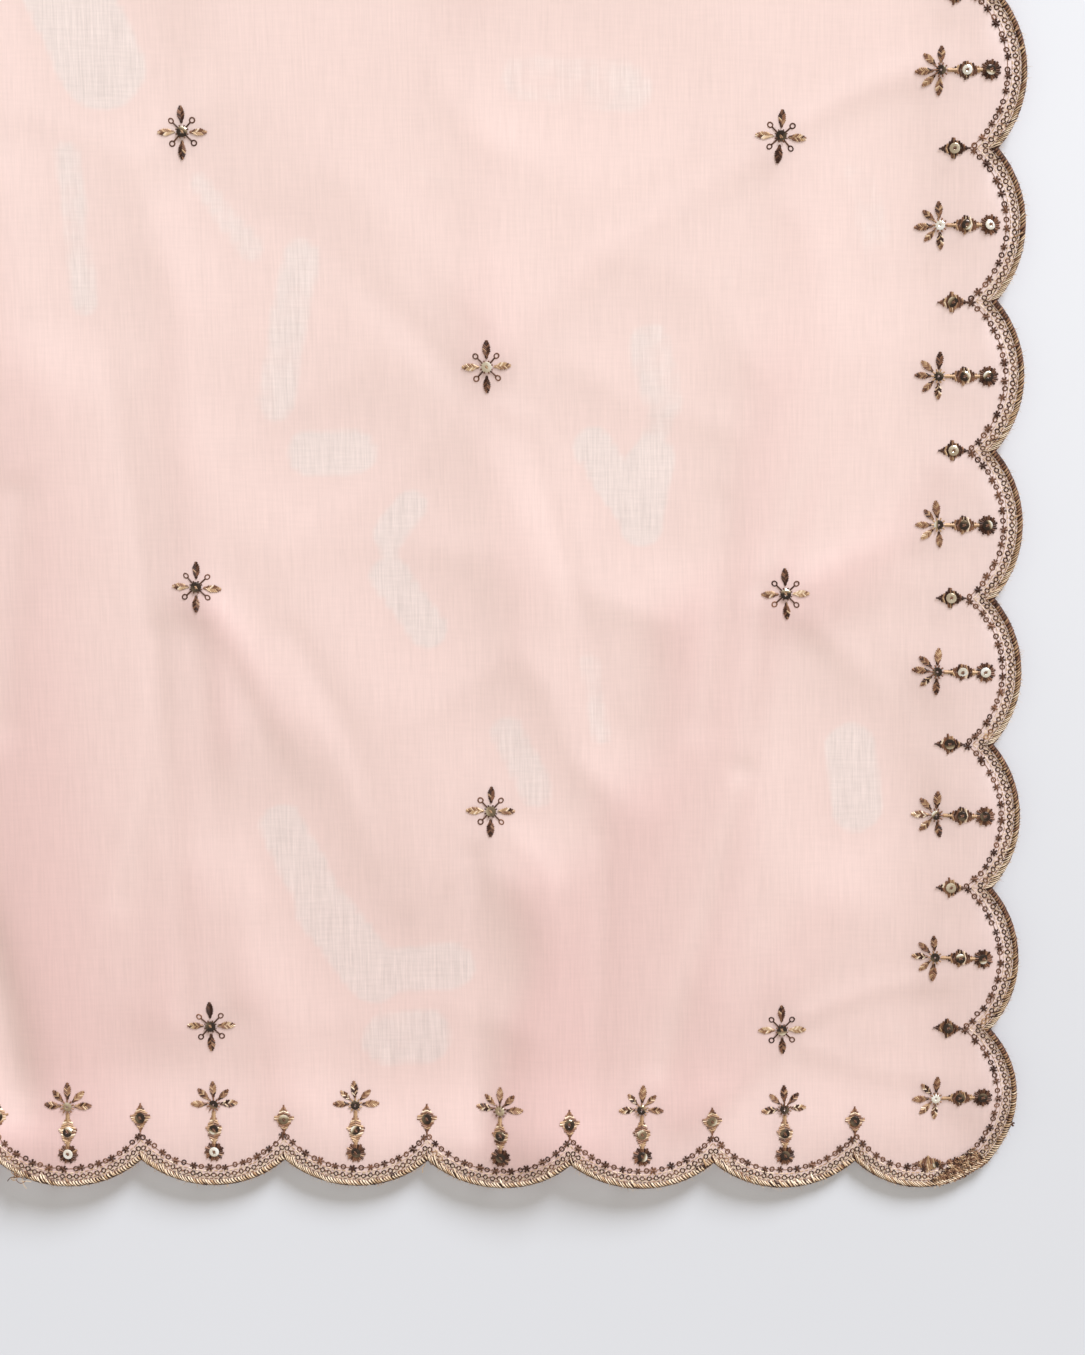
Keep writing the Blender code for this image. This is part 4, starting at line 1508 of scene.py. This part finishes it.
def build_field_motifs():
    """Eight-pointed motifs: four stitched petals and four ringed stems round a sequin."""
    own = sewing()
    rng = draws("field")
    threads, rings, sequins = Sewn(), Sewn(), Sewn()
    petals = [petal_shape(own, rng) for kind in range(PETAL_KINDS)]
    ring = hoop_shape(*FIELD_RING)
    stem = stitch_between((FIELD_STEM_RUN[0], 0), (FIELD_STEM_RUN[1], 0), FIELD_STEM, 0.08)
    burst = burst_shape(*FIELD_BURST)
    cross = knot_shape(0.0026, OVER_SEQUIN - 0.0001)
    sequin = sequin_shape(own.sequin * 0.96)
    across, along = directions(0.0)
    for place in field_places():
        origin = place + rng.normal(0, 0.0006, 2)
        lean = math.radians(rng.normal(0, 2.5))
        for number in range(8):
            way, aside = directions(lean + math.pi / 4 * number + math.radians(rng.normal(0, 2)))
            if number % 2 == 0:
                gold = petal_painted_sheen(way) + rng.normal(0, TONE_WAVER)
                start = origin + way * (PETAL_FROM_ALONG if number % 4 else PETAL_FROM_ACROSS)
                petal = petals[rng.integers(PETAL_KINDS)]
                threads.place(petal, start, way, aside, gold, rng.uniform(0.96, 1.08))
            else:
                middle = origin + way * FIELD_RING_AT
                rings.place(ring, middle, way, aside * rng.uniform(0.8, 1.0), rng.normal(0.12, TONE_WAVER))
                threads.place(stem, origin, way, aside)
        place_sequin(sequins, sequin, origin, across, along, rng, 0.8)
        threads.place(burst, origin, across, along, rng.normal(0, TONE_WAVER))
        threads.place(cross, origin, across, along, 0.45, 0.8)
    threads.finish("field_threads")
    rings.finish("field_rings")
    sequins.finish("field_sequins", "sequin")


# ---------------------------------------------------------------- corners and loose threads

JOIN_STITCHES = 900        # at each corner
JOIN_THREAD = Thread(0.0005, 0.0003, 0.0006)
JOIN_FROM = 0.60           # share of the corner's scallop where the dense stitches start
# Share along the scallop, and inset, of a corner's lozenge, of its sequin and of the knot just
# past it
JOIN_LOZENGE = (0.66, 0.0108)
JOIN_SEQUIN = (0.70, 0.0100)
JOIN_LAST_KNOT = (0.30, 0.0006)
# Its other star knots: share along the scallop, inset and size
JOIN_KNOTS = ((0.80, 0.0092, 1.0), (0.90, 0.0080, 1.1), (0.97, 0.0020, 1.2))


def build_corner_joins():
    """Dense stitches that close the border at the end of each side."""
    own = sewing()
    rng = draws("corners")
    threads, sequins = Sewn(), Sewn()
    lozenge = lozenge_shape(rng, *CORNER_LOZENGE)
    knot = knot_shape(0.0030)
    sequin = sequin_shape(own.sequin * 0.6)
    x, y, z = rows(stitch_shape())
    for number, side in enumerate(SIDES):
        scallop = outline()[side][-1]
        run = arc_length(scallop, 0.004)
        share = JOIN_FROM + (1 - JOIN_FROM) * rng.random(JOIN_STITCHES) ** 0.7
        depth = 0.0035 + 0.0055 * smooth((share - JOIN_FROM - 0.02) / 0.25)
        inset = 0.0006 + rng.random(JOIN_STITCHES) * depth
        lean = rng.normal(0.9, 0.8, JOIN_STITCHES)[:, None]
        reach = rng.uniform(0.0008, 0.0018, JOIN_STITCHES)[:, None] * (x - 0.5)
        aside = y * JOIN_THREAD.width
        along = share[:, None] + (reach * np.cos(lean) + aside * np.sin(lean)) / run
        inset = inset[:, None] - reach * np.sin(lean) + aside * np.cos(lean)
        rise = JOIN_THREAD.base + 0.0004 * rng.random(JOIN_STITCHES)[:, None] + JOIN_THREAD.height * z
        tones = rng.normal(0.38, 0.36, JOIN_STITCHES)[:, None]
        threads.lay(stitch_shape(), arc_places(scallop, np.minimum(along, 1.01), inset), rise, tones)
        inward = -scallop.outward
        threads.place(lozenge, arc_places(scallop, *JOIN_LOZENGE), inward, -scallop.along, 0.02)
        for share, inset, size in JOIN_KNOTS:
            threads.place(knot, arc_places(scallop, share, inset), inward, scallop.along, 0.25, size)
        place_sequin(sequins, sequin, arc_places(scallop, *JOIN_SEQUIN), inward, scallop.along, rng)
        following = outline()[SIDES[(number + 1) % len(SIDES)]][0]
        threads.place(knot, arc_places(following, *JOIN_LAST_KNOT), inward, scallop.along, 0.0, 1.1)
    threads.finish("corner_joins")
    sequins.finish("corner_sequins", "sequin")


# Where thread ends hang loose at the edge: side, scallop, share along it, number of ends and
# length of the longest.
Tuft = namedtuple("Tuft", "side number share ends reach")
TUFTS = (
    Tuft("foot", 8, 0.17, 22, 0.0058),
    Tuft("foot", 11, 0.00, 3, 0.0060),
    Tuft("foot", 13, 0.27, 2, 0.0090),
    Tuft("right", 9, 0.50, 2, 0.0060),
    Tuft("right", 22, 0.10, 6, 0.0090),
    Tuft("head", 5, 0.03, 8, 0.0090),
    Tuft("head", 11, 0.60, 3, 0.0110),
    Tuft("left", 6, 0.95, 6, 0.0080),
    Tuft("left", 25, 0.40, 3, 0.0110),
)
TUFT_STEPS = 12
TUFT_THREAD = Thread(0.00034, 0.0, 0.0010)
TUFT_FALL = 0.0004         # how much lower an end lies than its root


def build_loose_threads():
    """Curled thread ends at a few places of the edge."""
    rng = draws("loose threads")
    sewn = Sewn()
    ribbon = strip_shape(TUFT_STEPS)
    step = np.rint(ribbon.points[:, 0] * TUFT_STEPS).astype(int)
    for tuft in TUFTS:
        scallop = outline()[tuft.side][tuft.number]
        root = arc_places(scallop, tuft.share, 0.0010)
        for end in range(tuft.ends):
            reach = tuft.reach * rng.uniform(0.35, 1.0)
            heading = math.atan2(scallop.outward[1], scallop.outward[0]) + rng.normal(0, 1.1)
            turns = heading + np.cumsum(rng.normal(rng.normal(0, 0.35), 0.25, TUFT_STEPS + 1))
            way = np.column_stack((np.cos(turns), np.sin(turns)))
            path = root + rng.normal(0, 0.0012, 2) + np.cumsum(way, axis=0) * reach / TUFT_STEPS
            across = np.column_stack((-way[step, 1], way[step, 0]))
            aside = across * ribbon.points[:, 1:2] * TUFT_THREAD.width
            rise = TUFT_THREAD.base - TUFT_FALL * ribbon.points[:, 0] + rng.uniform(0, 0.0008)
            sewn.lay(ribbon, (path[step] + aside)[None], rise, rng.uniform(0.0, 1.0))
    sewn.finish("loose_threads")


# ---------------------------------------------------------------- stage

TABLE_REACH = 20.0
LAMP_AWAY = 3.0            # where the lamp's object stands, for show
# A painted pool of light on the table: where it is palest, and how far from there it is as grey as it gets
TABLE_LIT_AT = (0.9, 0.3, 0.0)
TABLE_SHADE_FROM = 1.0
TABLE_SHADE_TO = 1.65
TABLE_SHADE = 0.83


def add_to_scene(name, data):
    """An object of some data, linked to the scene."""
    thing = bpy.data.objects.new(name, data)
    bpy.context.scene.collection.objects.link(thing)
    return thing


def table_material():
    """A matt pale table with a painted pool of light, greyer with painted shade away from the cloth's right
    side.
    """
    nodes = Nodes("pale_table")
    place = nodes.place()
    shade = nodes.math("MULTIPLY_ADD", nodes.noise(place, 3.0), 0.02, 0.99)
    ends = {0: place, 1: TABLE_LIT_AT}
    away = nodes.add("ShaderNodeVectorMath", ends, operation="DISTANCE").outputs["Value"]
    # painted pool of light: the table greys with painted shade away from it
    painted_light_pool = nodes.between(away, TABLE_SHADE_FROM, TABLE_SHADE_TO, 1.0, TABLE_SHADE)
    base = nodes.shaded(colours().table, nodes.math("MULTIPLY", shade, painted_light_pool))
    return nodes.output(nodes.principled(base, 0.75, 0.2))


def build_table():
    """The table."""
    bm = bmesh.new()
    bmesh.ops.create_grid(bm, x_segments=1, y_segments=1, size=TABLE_REACH)
    mesh = bpy.data.meshes.new("table")
    bm.to_mesh(mesh)
    bm.free()
    mesh.materials.append(table_material())
    add_to_scene("table", mesh)


def build_lights():
    """Even light all round and a broad key light."""
    studio = bpy.context.scene.stole_studio
    world = bpy.data.worlds.new("studio")
    world.use_nodes = True
    background = world.node_tree.nodes["Background"]
    background.inputs["Color"].default_value = (*studio.fill_colour, 1.0)
    background.inputs["Strength"].default_value = studio.fill
    bpy.context.scene.world = world
    lamp = bpy.data.lights.new("key", "SUN")
    lamp.angle = studio.key_breadth
    lamp.energy = studio.key_power
    lamp.color = studio.key_colour
    key = add_to_scene("key", lamp)
    flat = math.cos(studio.key_rise)
    side = studio.key_side
    away = Vector((math.sin(side) * flat, math.cos(side) * flat, math.sin(studio.key_rise)))
    key.location = away * LAMP_AWAY
    key.rotation_euler = away.to_track_quat("Z", "Y").to_euler()


def build_camera():
    """The camera, over the cloth's lower right corner."""
    studio = bpy.context.scene.stole_studio
    width, whole = cloth_size()
    corner = Vector((width / 2, -whole / 2 - cut().skew * width / 2, 0))
    data = bpy.data.cameras.new("camera")
    data.lens = studio.lens
    data.clip_start = 0.01
    camera = add_to_scene("camera", data)
    camera.location = corner + Vector((-studio.camera_left, studio.camera_up, studio.camera_height))
    turn = Matrix.Rotation(studio.roll, 3, "Z") @ Matrix.Rotation(studio.tilt, 3, "X")
    camera.rotation_euler = turn.transposed().to_euler()
    bpy.context.scene.camera = camera
    bpy.context.scene.view_settings.view_transform = "Standard"


# ---------------------------------------------------------------- operators

OPTIONS = {"REGISTER", "UNDO"}


class STOLE_OT_stage(bpy.types.Operator):
    """Set up the table, the lights and the camera"""

    bl_idname = "stole.stage"
    bl_label = "Stage"
    bl_options = OPTIONS

    def execute(self, context):
        build_table()
        build_lights()
        build_camera()
        return {"FINISHED"}


class STOLE_OT_edgings(bpy.types.Operator):
    """Sew the satin edging of each side"""

    bl_idname = "stole.edgings"
    bl_label = "Satin edgings"
    bl_options = OPTIONS

    def execute(self, context):
        for side in SIDES:
            build_edging(side)
        build_fuzz()
        return {"FINISHED"}


class STOLE_OT_lines(bpy.types.Operator):
    """Sew the ring chain, the running stitches and the dotted row"""

    bl_idname = "stole.lines"
    bl_label = "Thread lines"
    bl_options = OPTIONS

    def execute(self, context):
        build_chain_bed()
        build_chain()
        build_running()
        build_row()
        return {"FINISHED"}


class STOLE_OT_motifs(bpy.types.Operator):
    """Embroider the sprays, the drops and the field motifs"""

    bl_idname = "stole.motifs"
    bl_label = "Motifs"
    bl_options = OPTIONS

    def execute(self, context):
        build_sprays()
        build_drops()
        build_field_motifs()
        return {"FINISHED"}


class STOLE_OT_corners(bpy.types.Operator):
    """Close the border at the corners and leave a few loose thread ends"""

    bl_idname = "stole.corners"
    bl_label = "Corner joins and loose threads"
    bl_options = OPTIONS

    def execute(self, context):
        build_corner_joins()
        build_loose_threads()
        return {"FINISHED"}


class STOLE_OT_cloth(bpy.types.Operator):
    bl_idname = "stole.cloth"
    bl_label = "Organza panel"
    bl_options = OPTIONS

    def execute(self, context):
        cloth = build_cloth()
        return {"FINISHED"}


class STOLE_PT_panel(bpy.types.Panel):
    """Lists the stole's pieces and their settings"""

    bl_idname = "STOLE_PT_panel"
    bl_label = "Dupatta stole"
    bl_space_type = "VIEW_3D"
    bl_region_type = "UI"
    bl_category = "Stole"

    def draw(self, context):
        layout = self.layout
        for operator in OPERATORS:
            layout.operator(operator.bl_idname)
        for group, kind in GROUPS.items():
            box = layout.box()
            box.label(text=kind.__doc__)
            for setting in kind.__annotations__:
                box.prop(getattr(context.scene, group), setting)


OPERATORS = (STOLE_OT_stage, STOLE_OT_edgings, STOLE_OT_lines, STOLE_OT_motifs, STOLE_OT_corners,
             STOLE_OT_cloth)


def register():
    """Register the settings, the operators and the panel."""
    for group, kind in GROUPS.items():
        bpy.utils.register_class(kind)
        setattr(bpy.types.Scene, group, PointerProperty(type=kind))
    for kind in (*OPERATORS, STOLE_PT_panel):
        bpy.utils.register_class(kind)


def unregister():
    """Remove what register added."""
    for kind in (STOLE_PT_panel, *reversed(OPERATORS)):
        bpy.utils.unregister_class(kind)
    for group, kind in reversed(GROUPS.items()):
        delattr(bpy.types.Scene, group)
        bpy.utils.unregister_class(kind)


def main():
    """Build the stole."""
    register()
    bpy.ops.stole.stage()
    bpy.ops.stole.edgings()
    bpy.ops.stole.lines()
    bpy.ops.stole.motifs()
    bpy.ops.stole.corners()
    bpy.ops.stole.cloth()


if __name__ == "__main__":
    main()
